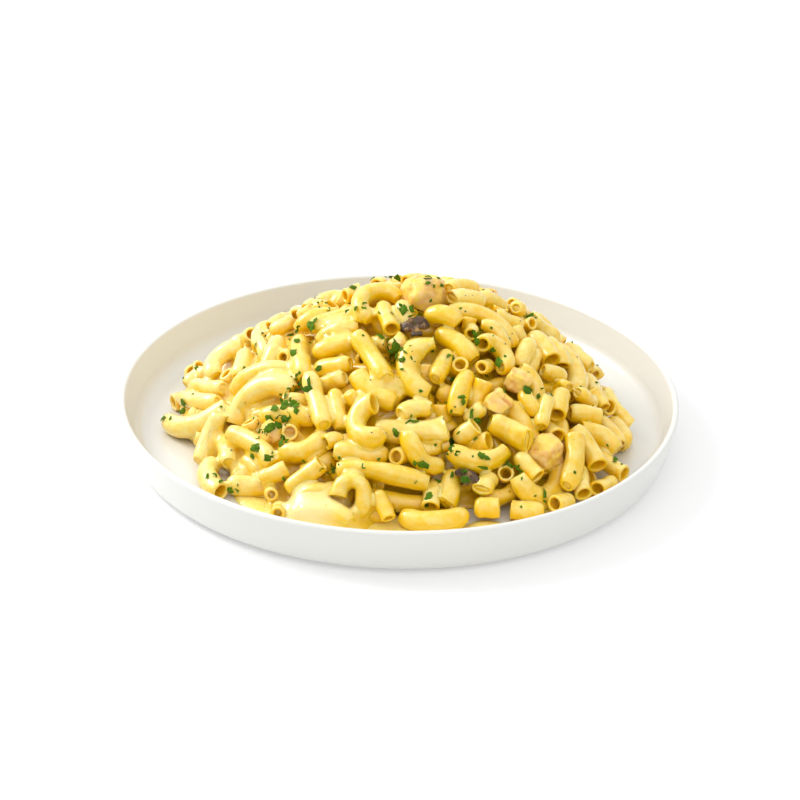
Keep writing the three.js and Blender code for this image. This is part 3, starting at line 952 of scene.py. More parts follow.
def grown(name, mesh, tree, values):
    """Runs a geometry tree on a mesh and returns the finished mesh."""
    holder = bpy.data.objects.new(name, mesh)
    bpy.context.scene.collection.objects.link(holder)
    modifier = holder.modifiers.new(name, "NODES")
    modifier.node_group = tree
    for item in tree.interface.items_tree:
        if item.in_out == "INPUT" and item.name in values:
            modifier[item.identifier] = values[item.name]
    graph = bpy.context.evaluated_depsgraph_get()
    graph.update()
    made = bpy.data.meshes.new_from_object(holder.evaluated_get(graph))
    holder.modifiers.remove(modifier)
    bpy.data.objects.remove(holder)
    bpy.data.meshes.remove(mesh)
    made.name = name
    return made


# ================================================================ noodles
def macaroni_tree():
    """Turns lines into noodles: tubes with a wall, open ends with rounded rims, and an uneven coat."""
    tree, start, end = new_tree("macaroni", "GeometryNodeTree", (
        ("Spines", "NodeSocketGeometry", None),
        ("Wall", "NodeSocketFloat", 0.00145),
        ("Rim", "NodeSocketFloat", 0.0003),
        ("Rim Roundness", "NodeSocketFloat", 0.42),
        ("Widens", "NodeSocketFloat", WIDENS),
        ("Coat", "NodeSocketFloat", 0.0004),
        ("Coat Size", "NodeSocketFloat", 0.009),
        ("Sides", "NodeSocketInt", 16),
        ("Rings", "NodeSocketInt", 16),
        ("Material", "NodeSocketMaterial", None),
        (">Noodles", "NodeSocketGeometry", None),
    ))
    line = add(tree, "GeometryNodeMeshToCurve", {"Mesh": start["Spines"]})
    line = add(tree, "GeometryNodeCurveSplineType", {"Curve": line}, spline_type="CATMULL_ROM")
    line = add(tree, "GeometryNodeResampleCurve", {"Curve": line, "Count": start["Rings"]})
    line = kept(tree, line, "spine", add(tree, "GeometryNodeInputPosition"), "FLOAT_VECTOR")
    half_width = attribute_in(tree, "half_width")
    ring = add(tree, "GeometryNodeCurvePrimitiveCircle", {"Resolution": start["Sides"], "Radius": 1.0})
    radius = maths(tree, "SUBTRACT", half_width, start["Wall"])
    bore = add(tree, "GeometryNodeCurveToMesh", {"Curve": line, "Profile Curve": ring, "Scale": radius})

    # A tube that was squashed in the pan is flat one way and wider the other.
    centre = attribute_in(tree, "spine", "FLOAT_VECTOR")
    way = attribute_in(tree, "flat_way", "FLOAT_VECTOR")
    flat = attribute_in(tree, "flat")
    arm = vector_maths(tree, "SUBTRACT", add(tree, "GeometryNodeInputPosition"), centre)
    lean = maths(tree, "MULTIPLY", vector_maths(tree, "DOT_PRODUCT", arm, way), flat)
    inwards = maths(tree, "SUBTRACT", -1.0, start["Widens"])
    pressed = scaled(tree, way, maths(tree, "MULTIPLY", lean, inwards))
    widened = scaled(tree, arm, maths(tree, "MULTIPLY", flat, start["Widens"]))
    offset = vector_maths(tree, "ADD", pressed, widened)
    bore = add(tree, "GeometryNodeSetPosition", {"Geometry": bore, "Offset": offset})

    # The wall grows outwards from the bore, and its cut ends grow on into a rim that is drawn in.
    inner = add(tree, "GeometryNodeFlipFaces", {"Mesh": kept(tree, bore, "bore", 1.0)})
    wall = node_in(tree, "GeometryNodeExtrudeMesh", {
        "Mesh": kept(tree, bore, "bore", 0.0), "Offset Scale": start["Wall"], "Individual": False})
    rims = node_in(tree, "GeometryNodeExtrudeMesh", {
        "Mesh": wall.outputs["Mesh"], "Selection": wall.outputs["Side"],
        "Offset Scale": start["Rim"], "Individual": False})
    middle = maths(tree, "SUBTRACT", half_width, maths(tree, "MULTIPLY", start["Wall"], 0.5))
    reach = vector_maths(tree, "LENGTH", arm)
    slack = maths(tree, "DIVIDE", maths(tree, "SUBTRACT", middle, reach), reach)
    pinch = scaled(tree, arm, maths(tree, "MULTIPLY", slack, start["Rim Roundness"]))
    outer = add(tree, "GeometryNodeSetPosition", {
        "Geometry": rims.outputs["Mesh"], "Selection": rims.outputs["Top"], "Offset": pinch})
    both = tree.nodes.new("GeometryNodeJoinGeometry")
    tree.links.new(inner, both.inputs[0])
    tree.links.new(outer, both.inputs[0])
    noodles = add(tree, "GeometryNodeMergeByDistance", {"Geometry": both.outputs[0], "Distance": 1e-6})

    place = add(tree, "GeometryNodeInputPosition")
    size = maths(tree, "DIVIDE", 1.0, start["Coat Size"])
    lumps = add(tree, "ShaderNodeTexNoise", {
        "Vector": place, "Scale": size, "Detail": 2.0, "Roughness": 0.45})
    swell = maths(tree, "MULTIPLY", maths(tree, "SUBTRACT", lumps, 0.5), start["Coat"])
    offset = scaled(tree, add(tree, "GeometryNodeInputNormal"), swell)
    noodles = add(tree, "GeometryNodeSetPosition", {"Geometry": noodles, "Offset": offset})
    noodles = add(tree, "GeometryNodeSetShadeSmooth", {"Geometry": noodles})
    noodles = add(tree, "GeometryNodeRealizeInstances", {"Geometry": noodles})
    noodles = add(tree, "GeometryNodeSetMaterial", {"Geometry": noodles, "Material": start["Material"]})
    plug(tree, end["Noodles"], noodles)
    return tree


def spine_mesh(name, noodles):
    """The noodles' middle lines as chains of edges, with what the noodle tree reads at each point."""
    mesh = bpy.data.meshes.new(name)
    first = (np.arange(len(noodles))[:, None] * NODES + np.arange(NODES - 1)).ravel()
    edges = np.stack([first, first + 1], 1)
    points = np.concatenate([noodle.line for noodle in noodles]) * MM
    mesh.from_pydata(points.tolist(), edges.tolist(), [])
    details = {
        "half_width": np.concatenate([noodle.half for noodle in noodles]) * MM,
        "flat": np.concatenate([noodle.flat for noodle in noodles]),
        "deep": np.concatenate([noodle.deep for noodle in noodles]),
        "tone": np.repeat([noodle.tone for noodle in noodles], NODES),
        "flat_way": np.concatenate([noodle.flat_way for noodle in noodles]),
    }
    for key, value in details.items():
        kind, field = ("FLOAT_VECTOR", "vector") if value.ndim == 2 else ("FLOAT", "value")
        layer = mesh.attributes.new(key, kind, "POINT")
        layer.data.foreach_set(field, value.reshape(-1).astype(np.float32))
    return mesh


BROKEN_BELOW, SHORT_BELOW = 15.0, 22.0  # lengths
STRAIGHT_ABOVE = 0.95  # share of its length that a straight noodle's ends are apart


def kind_of(noodle):
    """Broken and short noodles by their length, and the rest by whether they are bent."""
    length = np.linalg.norm(np.diff(noodle.line, axis=0), axis=1).sum()
    if length < BROKEN_BELOW:
        return "broken"
    if length < SHORT_BELOW:
        return "short"
    apart = np.linalg.norm(noodle.line[-1] - noodle.line[0])
    return "straight" if apart > STRAIGHT_ABOVE * length else "bent"


def noodle_pieces(noodles, material):
    """The noodles in pieces by kind: broken, short, bent and straight ones."""
    tree = macaroni_tree()
    pieces = []
    for kind in ("broken", "short", "bent", "straight"):
        name = "macaroni_" + kind
        chosen = [noodle for noodle in noodles if kind_of(noodle) == kind]
        made = grown(name, spine_mesh(name, chosen), tree, {"Material": material})
        pieces.append(shown(name, made, material, ["pasta_heap"]))
    return pieces


# ================================================================ chicken and mushrooms
CHICKEN_CELL, MUSHROOM_CELL = 0.55, 0.45
CUT_DEPTHS = (0.62, 0.82)  # shares of the reach where a flat cut may lie
CUT_TAKES = 0.78  # how much of what stands past a cut is taken off


def remeshed(node, cell):
    """A fine even mesh of a plain solid, with its points and outward directions in millimetres."""
    rough = bmesh.new()
    rough.from_mesh(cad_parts[node].data)
    bmesh.ops.remove_doubles(rough, verts=rough.verts, dist=2e-5)
    bmesh.ops.recalc_face_normals(rough, faces=rough.faces)
    mesh = bpy.data.meshes.new(node)
    rough.to_mesh(mesh)
    rough.free()
    holder = bpy.data.objects.new(node, mesh)
    bpy.context.scene.collection.objects.link(holder)
    remesh = holder.modifiers.new("even", "REMESH")
    remesh.mode = "VOXEL"
    remesh.voxel_size = cell * MM
    smooth = holder.modifiers.new("soft", "SMOOTH")
    smooth.factor = 0.5
    smooth.iterations = 6
    graph = bpy.context.evaluated_depsgraph_get()
    made = bpy.data.meshes.new_from_object(holder.evaluated_get(graph))
    bpy.data.objects.remove(holder)
    points = np.zeros(len(made.vertices) * 3)
    outward = np.zeros(len(made.vertices) * 3)
    made.vertices.foreach_get("co", points)
    made.vertex_normals.foreach_get("vector", outward)
    return made, points.reshape(-1, 3) / MM, outward.reshape(-1, 3)


def reshaped(mesh, points, values):
    """Moves a mesh's points, and keeps a value for each under a name."""
    mesh.vertices.foreach_set("co", (points * MM).ravel())
    keep_values(mesh, values)
    mesh.update()
    mesh.shade_smooth()
    return mesh


def chicken_mesh(node, seed):
    """A diced piece of breast: a few flat cut sides, a torn one, and fine strands along the grain."""
    rng = np.random.default_rng(seed)
    mesh, points, outward = remeshed(node, CHICKEN_CELL)
    middle = points.mean(0)
    local = points - middle
    axes = np.linalg.svd(rng.normal(size=(3, 3)))[0]
    cuts = [side * axis for axis in axes for side in (-1, 1)] + list(rng.normal(size=(2, 3)))
    for cut in cuts:
        cut = cut / np.linalg.norm(cut) + rng.normal(0, 0.12, 3)
        reach = local @ cut
        beyond = reach - reach.max() * rng.uniform(*CUT_DEPTHS)
        local = local - (np.maximum(beyond, 0) * CUT_TAKES)[:, None] * cut / (cut @ cut)
    local = local * 1.1  # makes up for the cuts
    across = local - 0.88 * (local @ axes[0])[:, None] * axes[0]
    strands = soft_noise(across, 1.6, seed + 1, 26)
    torn = soft_noise(local, 7.0, seed + 4) > 0
    clefts = np.exp(-((soft_noise(across, 6.0, seed + 2, 18) / 0.09) ** 2)) * torn
    lumps = 0.6 * soft_noise(local, 6.0, seed + 3) + 0.25 * soft_noise(local, 2.6, seed + 5)
    shift = 0.1 * strands - 0.5 * clefts + lumps
    values = {"strands": strands, "clefts": clefts}
    return reshaped(mesh, middle + local + outward * shift[:, None], values)


def mushroom_mesh(node, seed):
    """A cooked slice: shrunk, curled and torn, with a dark skin and paler flesh."""
    mesh, points, outward = remeshed(node, MUSHROOM_CELL)
    middle = points.mean(0)
    local = points - middle
    _, _, axes = np.linalg.svd(local, full_matrices=False)
    wide, tall, thick = axes
    size = np.abs(local @ wide).max()
    u, v = local @ wide / size, local @ tall / size
    curl = (0.22 * u * u - 0.2 * v * v + 0.2 * u * v) * size
    lumps = soft_noise(local, 4.5, seed) + 0.5 * soft_noise(local, 1.8, seed + 1)
    thin = -0.32 * (local @ thick)[:, None] * thick
    narrow = -0.2 * (local @ tall)[:, None] * tall
    moved = points + curl[:, None] * thick + thin + narrow + outward * (0.5 * lumps - 0.1)[:, None]
    return reshaped(mesh, moved, {"gills": np.abs(local @ thick) / 2, "edge": np.hypot(u, v)})


def topping_pieces():
    """The chicken and mushroom pieces, each standing for its plain solid."""
    meat, fungus = chicken_material(), mushroom_material()
    pieces = []
    for count, name in enumerate(TOPPINGS):
        if name.startswith("chicken"):
            mesh = chicken_mesh(name, count * 7 + 3)
            pieces.append(shown(name + "_diced", mesh, meat, [name]))
        else:
            mesh = mushroom_mesh(name, count * 7 + 5)
            pieces.append(shown(name + "_slice", mesh, fungus, [name]))
    return pieces


# ================================================================ parsley and crumbs
# Where the parsley lies thickest from the front, in plan, and how many scraps can be told apart there.
PARSLEY_AT = (
    (-47, -38, 4), (-52, -45, 5), (-45, -44, 3), (-57, -53, 3), (-46, -51, 2), (-52, -56, 1),
    (-64, -56, 2), (-51, -67, 3), (-58, -70, 2), (-67, -66, 1), (-86, -70, 1), (-80, -75, 1),
    (-74, -82, 1), (-112, -18, 2), (-106, -18, 2), (-28, -83, 3), (-12, -83, 1), (34, -63, 1),
    (24, -74, 2), (27, -76, 2), (38, -77, 3), (52, -79, 2), (30, -83, 2), (10, -82, 1),
    (63, -88, 1), (22, -88, 1), (16, -97, 1), (28, -57, 1), (10, -65, 2), (60, -45, 2),
    (3, -12, 4), (6, -10, 3), (-2, -32, 4), (-1, -36, 4), (0, -40, 3), (-6, -30, 2),
    (36, -24, 3), (38, -18, 2), (-5, 25, 2), (-20, -6, 2), (-43, -6, 3), (-66, 8, 2),
    (-52, -5, 1), (62, 20, 1), (16, 6, 2), (14, 14, 1), (-37, 8, 2), (-24, 18, 2),
    (44, -30, 1), (24, -34, 1), (66, -40, 2), (100, -52, 1),
)
SCRAPS_EACH = 1.5  # scraps thrown for each of those, since some land out of sight
LEAF_SPREAD, BIT_SPREAD = 2.2, 4.0  # how far from its place a scrap may land
LEAVES_ANYWHERE = 46
BITS_ANYWHERE = 90
PEPPER_SPECKS = 90
SCATTER_SHARE = 0.97  # how far out they are thrown, where 1 is the heap's outline
FRONT_WAY = np.array([0.0, -0.885, 0.466])  # towards the eater
THROWN_FROM = 40.0  # distance from the slope


def scrap_mesh(name, corners, length, width, curl, seed, thickness=0.16):
    """A scrap of chopped leaf: a torn outline, domed and bent, with two closed faces."""
    rng = np.random.default_rng(seed)
    count = corners * 2
    number = np.arange(count)
    angle = (number + rng.uniform(-0.3, 0.3, count)) / count * 2 * math.pi
    reach = np.where(number % 2 == 0, rng.uniform(0.7, 1.2, count), rng.uniform(0.6, 0.85, count))
    sheet = [(0.0, 0.0)]
    for ring in (0.5, 1.0):
        x, y = ring * length / 2 * reach * np.cos(angle), ring * width / 2 * reach * np.sin(angle)
        sheet += list(zip(x, y))
    sheet = np.array(sheet)
    dome = curl * (1 - (sheet[:, 0] / length * 2) ** 2) - 0.5 * curl * np.abs(sheet[:, 1]) / width * 2
    dome += rng.uniform(-0.12, 0.12, len(sheet)) * width / 2
    upper = np.column_stack([sheet, dome + thickness / 2])
    lower = np.column_stack([sheet, dome - thickness / 2])
    faces = []
    shift = len(sheet)
    for k in range(count):
        a, b = 1 + k, 1 + (k + 1) % count
        c, d = a + count, b + count
        faces += [(0, a, b), (a, c, d, b)]
        faces += [(shift, shift + b, shift + a), (shift + a, shift + b, shift + d, shift + c)]
        faces.append((c, shift + c, shift + d, d))
    return mesh_of(name, np.concatenate([upper, lower]), faces)


def crumb_mesh(name, size, seed):
    """A small uneven lump."""
    lump = bmesh.new()
    bmesh.ops.create_icosphere(lump, subdivisions=1, radius=size / 2 * MM)
    rng = np.random.default_rng(seed)
    for vert in lump.verts:
        vert.co *= rng.uniform(0.6, 1.25)
    mesh = bpy.data.meshes.new(name)
    lump.to_mesh(mesh)
    lump.free()
    return mesh


def scatter_tree():
    """Sets one shape on every point, turned and sized by the point's own values."""
    tree, start, end = new_tree("scatter", "GeometryNodeTree", (
        ("Points", "NodeSocketGeometry", None),
        ("Shape", "NodeSocketObject", None),
        ("Material", "NodeSocketMaterial", None),
        (">Scraps", "NodeSocketGeometry", None),
    ))
    shape = add(tree, "GeometryNodeObjectInfo", {"Object": start["Shape"]}, out="Geometry")
    turn = add(tree, "FunctionNodeEulerToRotation", {0: attribute_in(tree, "turn", "FLOAT_VECTOR")})
    scraps = add(tree, "GeometryNodeInstanceOnPoints", {
        "Points": start["Points"], "Instance": shape, "Rotation": turn,
        "Scale": attribute_in(tree, "size", "FLOAT_VECTOR")})
    scraps = add(tree, "GeometryNodeRealizeInstances", {"Geometry": scraps})
    scraps = add(tree, "GeometryNodeSetMaterial", {"Geometry": scraps, "Material": start["Material"]})
    plug(tree, end["Scraps"], scraps)
    return tree


class Landing:
    """Finds where something thrown at the heap comes to rest."""

    def __init__(self, pieces):
        points, faces, start = [], [], 0
        for piece in pieces:
            mesh = piece.data
            co = np.zeros(len(mesh.vertices) * 3)
            mesh.vertices.foreach_get("co", co)
            points.append(co.reshape(-1, 3))
            mesh.calc_loop_triangles()
            corners = np.zeros(len(mesh.loop_triangles) * 3, int)
            mesh.loop_triangles.foreach_get("vertices", corners)
            faces.append(corners.reshape(-1, 3) + start)
            start += len(mesh.vertices)
        self.tree = BVHTree.FromPolygons(np.concatenate(points).tolist(), np.concatenate(faces).tolist())

    def at(self, x, y, towards):
        """The first thing met on the way to the slope at a place in plan, coming from a direction."""
        target = heap.surface(np.array([x]), np.array([y]), np.array([0.0]))[0]
        start = target + towards * THROWN_FROM
        hit = self.tree.ray_cast(Vector(start * MM), Vector(-towards), 2 * THROWN_FROM * MM)
        return hit[0], hit[1]


def thrown_there(landing, count_at, rng, spread):
    """Spots where scraps land that are thrown from the front at their places."""
    found = []
    for x, y, count in count_at:
        for _ in range(round(SCRAPS_EACH * count)):
            spot = landing.at(x + rng.normal(0, spread), y + rng.normal(0, spread), FRONT_WAY)
            found.append(spot)
    return found


def thrown_anywhere(landing, count, rng):
    """Spots all over the heap, thrown square to its slope."""
    found = []
    for _ in range(count):
        angle = rng.uniform(0, 2 * math.pi)
        x, y = heap_place(angle, math.sqrt(rng.uniform(0, 1)) * SCATTER_SHARE)
        found.append(landing.at(x, y, heap.normal(np.array([x]), np.array([y]))[0]))
    return found


def spot_mesh(name, spots, sizes, rng, bed):
    """Points a little way out from the spots, each with a random turn and size."""
    mesh = bpy.data.meshes.new(name)
    mesh.from_pydata([point + normal * (bed * MM) for point, normal in spots], [], [])
    turns, scales = [], []
    for _, normal in spots:
        lean = normal + Vector(rng.normal(0, 0.28, 3))
        spin = Matrix.Rotation(rng.uniform(0, 2 * math.pi), 3, "Z")
        turns += list((lean.to_track_quat("Z", "Y").to_matrix() @ spin).to_euler())
        scales += [rng.uniform(*sizes)] * 3
    for key, values in (("turn", turns), ("size", scales)):
        layer = mesh.attributes.new(key, "FLOAT_VECTOR", "POINT")
        layer.data.foreach_set("vector", np.array(values, np.float32))
    return mesh


def scattered(name, spots, shapes, sizes, tree, material, rng, bed):
    """One piece made of a few shapes, set on the spots that were found."""
    spots = [spot for spot in spots if spot[0] is not None]
    kinds = rng.integers(0, len(shapes), len(spots))
    whole = bmesh.new()
    for kind, shape in enumerate(shapes):
        holder = bpy.data.objects.new(shape.name, shape)
        chosen = [spot for spot, k in zip(spots, kinds) if k == kind]
        points = spot_mesh(name, chosen, sizes, rng, bed)
        whole.from_mesh(grown(name, points, tree, {"Shape": holder, "Material": material}))
        bpy.data.objects.remove(holder)
    joined = bpy.data.meshes.new(name)
    whole.to_mesh(joined)
    whole.free()
    return shown(name, joined, material)


def garnish(landing):
    """Chopped parsley in leaves and bits, and specks of pepper, as they land on the food."""
    rng = np.random.default_rng(77)
    tree = scatter_tree()
    green = parsley_material()
    leaves = [
        scrap_mesh("leaf_broad", 4, 4.8, 3.6, 0.6, 1),
        scrap_mesh("leaf_torn", 3, 4.4, 2.6, -0.5, 2),
        scrap_mesh("leaf_lobed", 5, 5.4, 3.4, 0.8, 3),
        scrap_mesh("leaf_strip", 3, 5.0, 1.6, 0.7, 4),
        scrap_mesh("leaf_folded", 3, 3.6, 2.4, 1.3, 5),
    ]
    bits = [scrap_mesh("bit", 3, 1.9, 1.5, 0.25, 6), scrap_mesh("bit_long", 3, 2.5, 1.1, 0.3, 7)]
    specks = [crumb_mesh("speck", 0.7, 1), crumb_mesh("speck_flat", 0.5, 2)]
    large = thrown_there(landing, PARSLEY_AT, rng, LEAF_SPREAD)
    small = thrown_anywhere(landing, BITS_ANYWHERE, rng)
    small += thrown_there(landing, PARSLEY_AT[::3], rng, BIT_SPREAD)
    large += thrown_anywhere(landing, LEAVES_ANYWHERE, rng)
    scattered("parsley_leaves", large, leaves, (0.55, 1.35), tree, green, rng, 0.25)
    scattered("parsley_bits", small, bits, (0.6, 1.3), tree, green, rng, 0.15)
    pepper = thrown_anywhere(landing, PEPPER_SPECKS, rng)
    scattered("pepper", pepper, specks, (0.6, 1.4), tree, pepper_material(), rng, 0.05)


# ================================================================ sauce that ran onto the plate
PUDDLES = (  # middle in plan, radius
    (-34, -91, 16), (-48, -90, 12), (-20, -97, 12), (-58, -84, 9), (-4, -98, 10), (10, -98, 9),
    (24, -98, 8), (36, -100, 8), (44, -99, 6), (-68, -76, 7), (70, -82, 7), (88, -68, 6),
    (-30, -101, 8), (56, -94, 7),
)
PUDDLE_CELL = 1.0
PUDDLE_X, PUDDLE_Y = (-85, 105), (-112, -55)
PUDDLE_DEPTH = 1.3
PUDDLE_BLEND = 9.0
PUDDLE_RAGGED = 1.6  # how uneven its outline is
PUDDLE_EDGE = 3.5  # how far in from its edge it reaches its full depth
PUDDLE_UNDER = 0.8  # how far it goes into the plate, out of sight


def puddle_height(x, y):
    """How high the thin sauce stands over the plate's floor, and how far inside its edge each place is."""
    reach = np.full(x.shape, 30.0)
    for cx, cy, radius in PUDDLES:
        reach = smooth_min(reach, np.hypot(x - cx, y - cy) - radius, PUDDLE_BLEND)
    spots = np.stack([x, y, np.zeros_like(x)], -1)
    reach += PUDDLE_RAGGED * soft_noise(spots, 9.0, 41)
    slope = np.clip(-reach / PUDDLE_EDGE, -0.4, 1)
    height = np.where(slope > 0, PUDDLE_DEPTH * np.sin(slope * math.pi / 2) ** 1.3, slope)
    height += 0.12 * soft_noise(spots, 6.0, 42) * (slope > 0.3)
    return height, reach


def puddle_mesh():
    """A thin pool: level in its middle and running out to nothing at its edge, closed underneath."""
    x, y = np.meshgrid(np.arange(*PUDDLE_X, PUDDLE_CELL), np.arange(*PUDDLE_Y, PUDDLE_CELL), indexing="ij")
    height, reach = puddle_height(x, y)
    inside = reach < 1.0
    keep = inside[:-1, :-1] & inside[1:, :-1] & inside[:-1, 1:] & inside[1:, 1:]
    number = np.arange(x.size).reshape(x.shape)
    i, j = np.nonzero(keep)
    upper = np.stack([number[i, j], number[i + 1, j], number[i + 1, j + 1], number[i, j + 1]], 1)
    lower = upper[:, ::-1] + x.size
    top = np.stack([x.ravel(), y.ravel(), FLOOR_Z + height.ravel()], 1)
    under = np.stack([x.ravel(), y.ravel(), np.full(x.size, FLOOR_Z - PUDDLE_UNDER)], 1)
    edges = np.concatenate([upper[:, [k, (k + 1) % 4]] for k in range(4)])
    ordered = {tuple(edge) for edge in edges.tolist()}
    sides = [(a, a + x.size, b + x.size, b) for a, b in ordered if (b, a) not in ordered]
    mesh = mesh_of("sauce_puddle", np.concatenate([top, under]), upper.tolist() + lower.tolist() + sides)
    clean = bmesh.new()
    clean.from_mesh(mesh)
    unused = [vert for vert in clean.verts if not vert.link_faces]
    bmesh.ops.delete(clean, geom=unused, context="VERTS")
    bmesh.ops.recalc_face_normals(clean, faces=clean.faces)
    clean.to_mesh(mesh)
    clean.free()
    mesh.shade_smooth()
    return mesh


# ================================================================ plate
def arc(cx, cy, radius, start, end, steps):
    """Points along an arc of the section, from one angle to another in degrees."""
    angle = np.radians(np.linspace(start, end, steps + 1))
    return np.stack([cx + radius * np.cos(angle), cy + radius * np.sin(angle)], 1)


def plate_section():
    """The plate's outline from the middle of its underside, round its rim, to the middle of its floor."""
    heel_x = RIM_RADIUS - FLARE - HEEL_RADIUS
    lip = WALL / 2
    foot_corner = 1.5
    return np.concatenate([
        [(0, UNDERSIDE_Z), (FOOT_INNER * 0.6, UNDERSIDE_Z)],
        arc(FOOT_INNER - foot_corner, UNDERSIDE_Z - foot_corner, foot_corner, 90, 45, 3)[:-1],
        arc(FOOT_INNER + 2.6 * FOOT_ROUND, FOOT_ROUND, FOOT_ROUND, 200, 270, 5),
        arc(FOOT_OUTER - 2.0 * FOOT_ROUND, FOOT_ROUND, FOOT_ROUND, 270, 350, 5),
        arc(heel_x, UNDERSIDE_Z + HEEL_RADIUS, HEEL_RADIUS, -90, 0, 12),
        arc(RIM_RADIUS - lip, PLATE_HEIGHT - lip, lip, 0, 180, 14),
        arc(FLOOR_RADIUS, FLOOR_Z + FLOOR_FILLET, FLOOR_FILLET, 0, -90, 16),
        [(FLOOR_RADIUS * 0.8, FLOOR_Z), (FLOOR_RADIUS * 0.4, FLOOR_Z), (0, FLOOR_Z)],
    ])


def plate_mesh():
    """The plate's section turned about its upright axis."""
    section = plate_section()
    angle = np.arange(PLATE_SIDES) / PLATE_SIDES * 2 * math.pi
    middle = section[1:-1]
    rings = np.stack([
        middle[:, None, 0] * np.cos(angle),
        middle[:, None, 0] * np.sin(angle),
        np.repeat(middle[:, 1:], PLATE_SIDES, 1),
    ], -1).reshape(-1, 3)
    points = np.concatenate([[(0, 0, section[0, 1])], rings, [(0, 0, section[-1, 1])]])
    faces = []
    count = len(middle)
    last = len(points) - 1
    for side in range(PLATE_SIDES):
        after = (side + 1) % PLATE_SIDES
        faces.append((0, 1 + after, 1 + side))
        for ring in range(count - 1):
            base, above = 1 + ring * PLATE_SIDES, 1 + (ring + 1) * PLATE_SIDES
            faces.append((base + side, base + after, above + after, above + side))
        base = 1 + (count - 1) * PLATE_SIDES
        faces.append((base + side, base + after, last))
    mesh = mesh_of("plate_glazed", points, faces)
    mesh.shade_smooth()
    return mesh


# ================================================================ materials
def new_material(name):
    """A material, its node tree, and the inputs of its surface."""
    material = bpy.data.materials.new(name)
    material.use_nodes = True
    tree = material.node_tree
    return material, tree, tree.nodes["Principled BSDF"].inputs


def noise_in(tree, size, detail=2.0, roughness=0.5):
    """Noise with lumps of a size in millimetres, fixed to the piece."""
    place = scaled(tree, add(tree, "ShaderNodeTexCoord", out="Object"), 1 / MM)
    scale = maths(tree, "DIVIDE", 1.0, size) if isinstance(size, bpy.types.NodeSocket) else 1.0 / size
    inputs = {"Vector": place, "Scale": scale, "Detail": detail, "Roughness": roughness}
    return add(tree, "ShaderNodeTexNoise", inputs)


def ramp(tree, value, *stops):
    """A colour ramp of (place, colour) stops, in order."""
    node = tree.nodes.new("ShaderNodeValToRGB")
    plug(tree, node.inputs[0], value)
    elements = node.color_ramp.elements
    for at, _ in stops[2:]:
        elements.new(at)
    for element, (at, shade) in zip(elements, stops):
        element.position = at
        element.color = shade
    return node.outputs[0]


def blend(tree, factor, a, b):
    """A mix of two colours: a where the factor is 0 and b where it is 1."""
    node = tree.nodes.new("ShaderNodeMix")
    node.data_type = "RGBA"
    plug(tree, node.inputs["Factor"], factor)
    plug(tree, node.inputs[6], a)
    plug(tree, node.inputs[7], b)
    return node.outputs[2]


def remap(tree, value, low, high, to_low, to_high):
    """A value from one range brought to another, and held inside it."""
    return add(tree, "ShaderNodeMapRange", (value, low, high, to_low, to_high))


def colour(r, g, b):
    """A colour as seen, 0 to 255, as light."""
    def light(v):
        v /= 255
        return v / 12.92 if v <= 0.04045 else ((v + 0.055) / 1.055) ** 2.4
    return (light(r), light(g), light(b), 1.0)


def creamy(surface, gloss):
    """What pasta, sauce and coated meat share: light goes in a little way, and the skin is wet."""
    surface["Subsurface Weight"].default_value = 0.7
    surface["Subsurface Radius"].default_value = (0.8, 0.6, 0.25)
    surface["Subsurface Scale"].default_value = 0.0016
    surface["IOR"].default_value = 1.45
    surface["Coat Weight"].default_value = gloss
    surface["Coat Roughness"].default_value = 0.2


def value_of(tree, name):
    """A value kept with the mesh's points."""
    return add(tree, "ShaderNodeAttribute", attribute_name=name, out="Fac")


def bumped(tree, surface, height, strength, distance):
    inputs = {"Strength": strength, "Distance": distance * MM, "Height": height}
    plug(tree, surface["Normal"], add(tree, "ShaderNodeBump", inputs))


def cover_group():
    """Where cream clings to a piece: in patches, paler on what faces up for cream that settles there and
    for painted top light, and thicker by its own tone.
    """
    tree, start, end = new_tree("cream_cover", "ShaderNodeTree", (
        ("Patch Size", "NodeSocketFloat", 5.0),
        ("Roughness", "NodeSocketFloat", 0.5),
        ("Tone", "NodeSocketFloat", 0.0),
        ("Upward", "NodeSocketFloat", 0.0),
        ("Bare Below", "NodeSocketFloat", 0.4),
        ("Full Above", "NodeSocketFloat", 1.0),
        ("Most", "NodeSocketFloat", 1.0),
        (">Cover", "NodeSocketFloat", None),
    ))
    patch = noise_in(tree, start["Patch Size"], 3.0, start["Roughness"])
    normal = add(tree, "ShaderNodeNewGeometry", out="Normal")
    facing_up = vector_maths(tree, "DOT_PRODUCT", normal, (0.0, 0.0, 1.0))
    coated = maths(tree, "ADD", patch, start["Tone"])
    # Partly cream settling on top and partly painted top light: what faces up is paler.
    coated = maths(tree, "ADD", coated, maths(tree, "MULTIPLY", facing_up, start["Upward"]))
    cover = remap(tree, coated, start["Bare Below"], start["Full Above"], 0.0, start["Most"])
    plug(tree, end["Cover"], cover)
    return tree


def gloss_group():
    """Roughness that changes in patches, between the wettest places and the driest."""
    tree, start, end = new_tree("uneven_gloss", "ShaderNodeTree", (
        ("Patch Size", "NodeSocketFloat", 3.0),
        ("Detail", "NodeSocketFloat", 2.0),
        ("Wettest", "NodeSocketFloat", 0.3),
        ("Driest", "NodeSocketFloat", 0.4),
        (">Roughness", "NodeSocketFloat", None),
    ))
    patch = noise_in(tree, start["Patch Size"], start["Detail"])
    plug(tree, end["Roughness"], remap(tree, patch, 0.3, 0.7, start["Wettest"], start["Driest"]))
    return tree


CREAM_COVER, UNEVEN_GLOSS = cover_group(), gloss_group()


def cream_on(tree, values):
    """How much cream covers each place, from 0 to 1."""
    return add(tree, "ShaderNodeGroup", values, node_tree=CREAM_COVER)


def uneven_gloss(tree, surface, size, wettest, driest, detail=2.0):
    values = {"Patch Size": size, "Detail": detail, "Wettest": wettest, "Driest": driest}
    plug(tree, surface["Roughness"], add(tree, "ShaderNodeGroup", values, node_tree=UNEVEN_GLOSS))


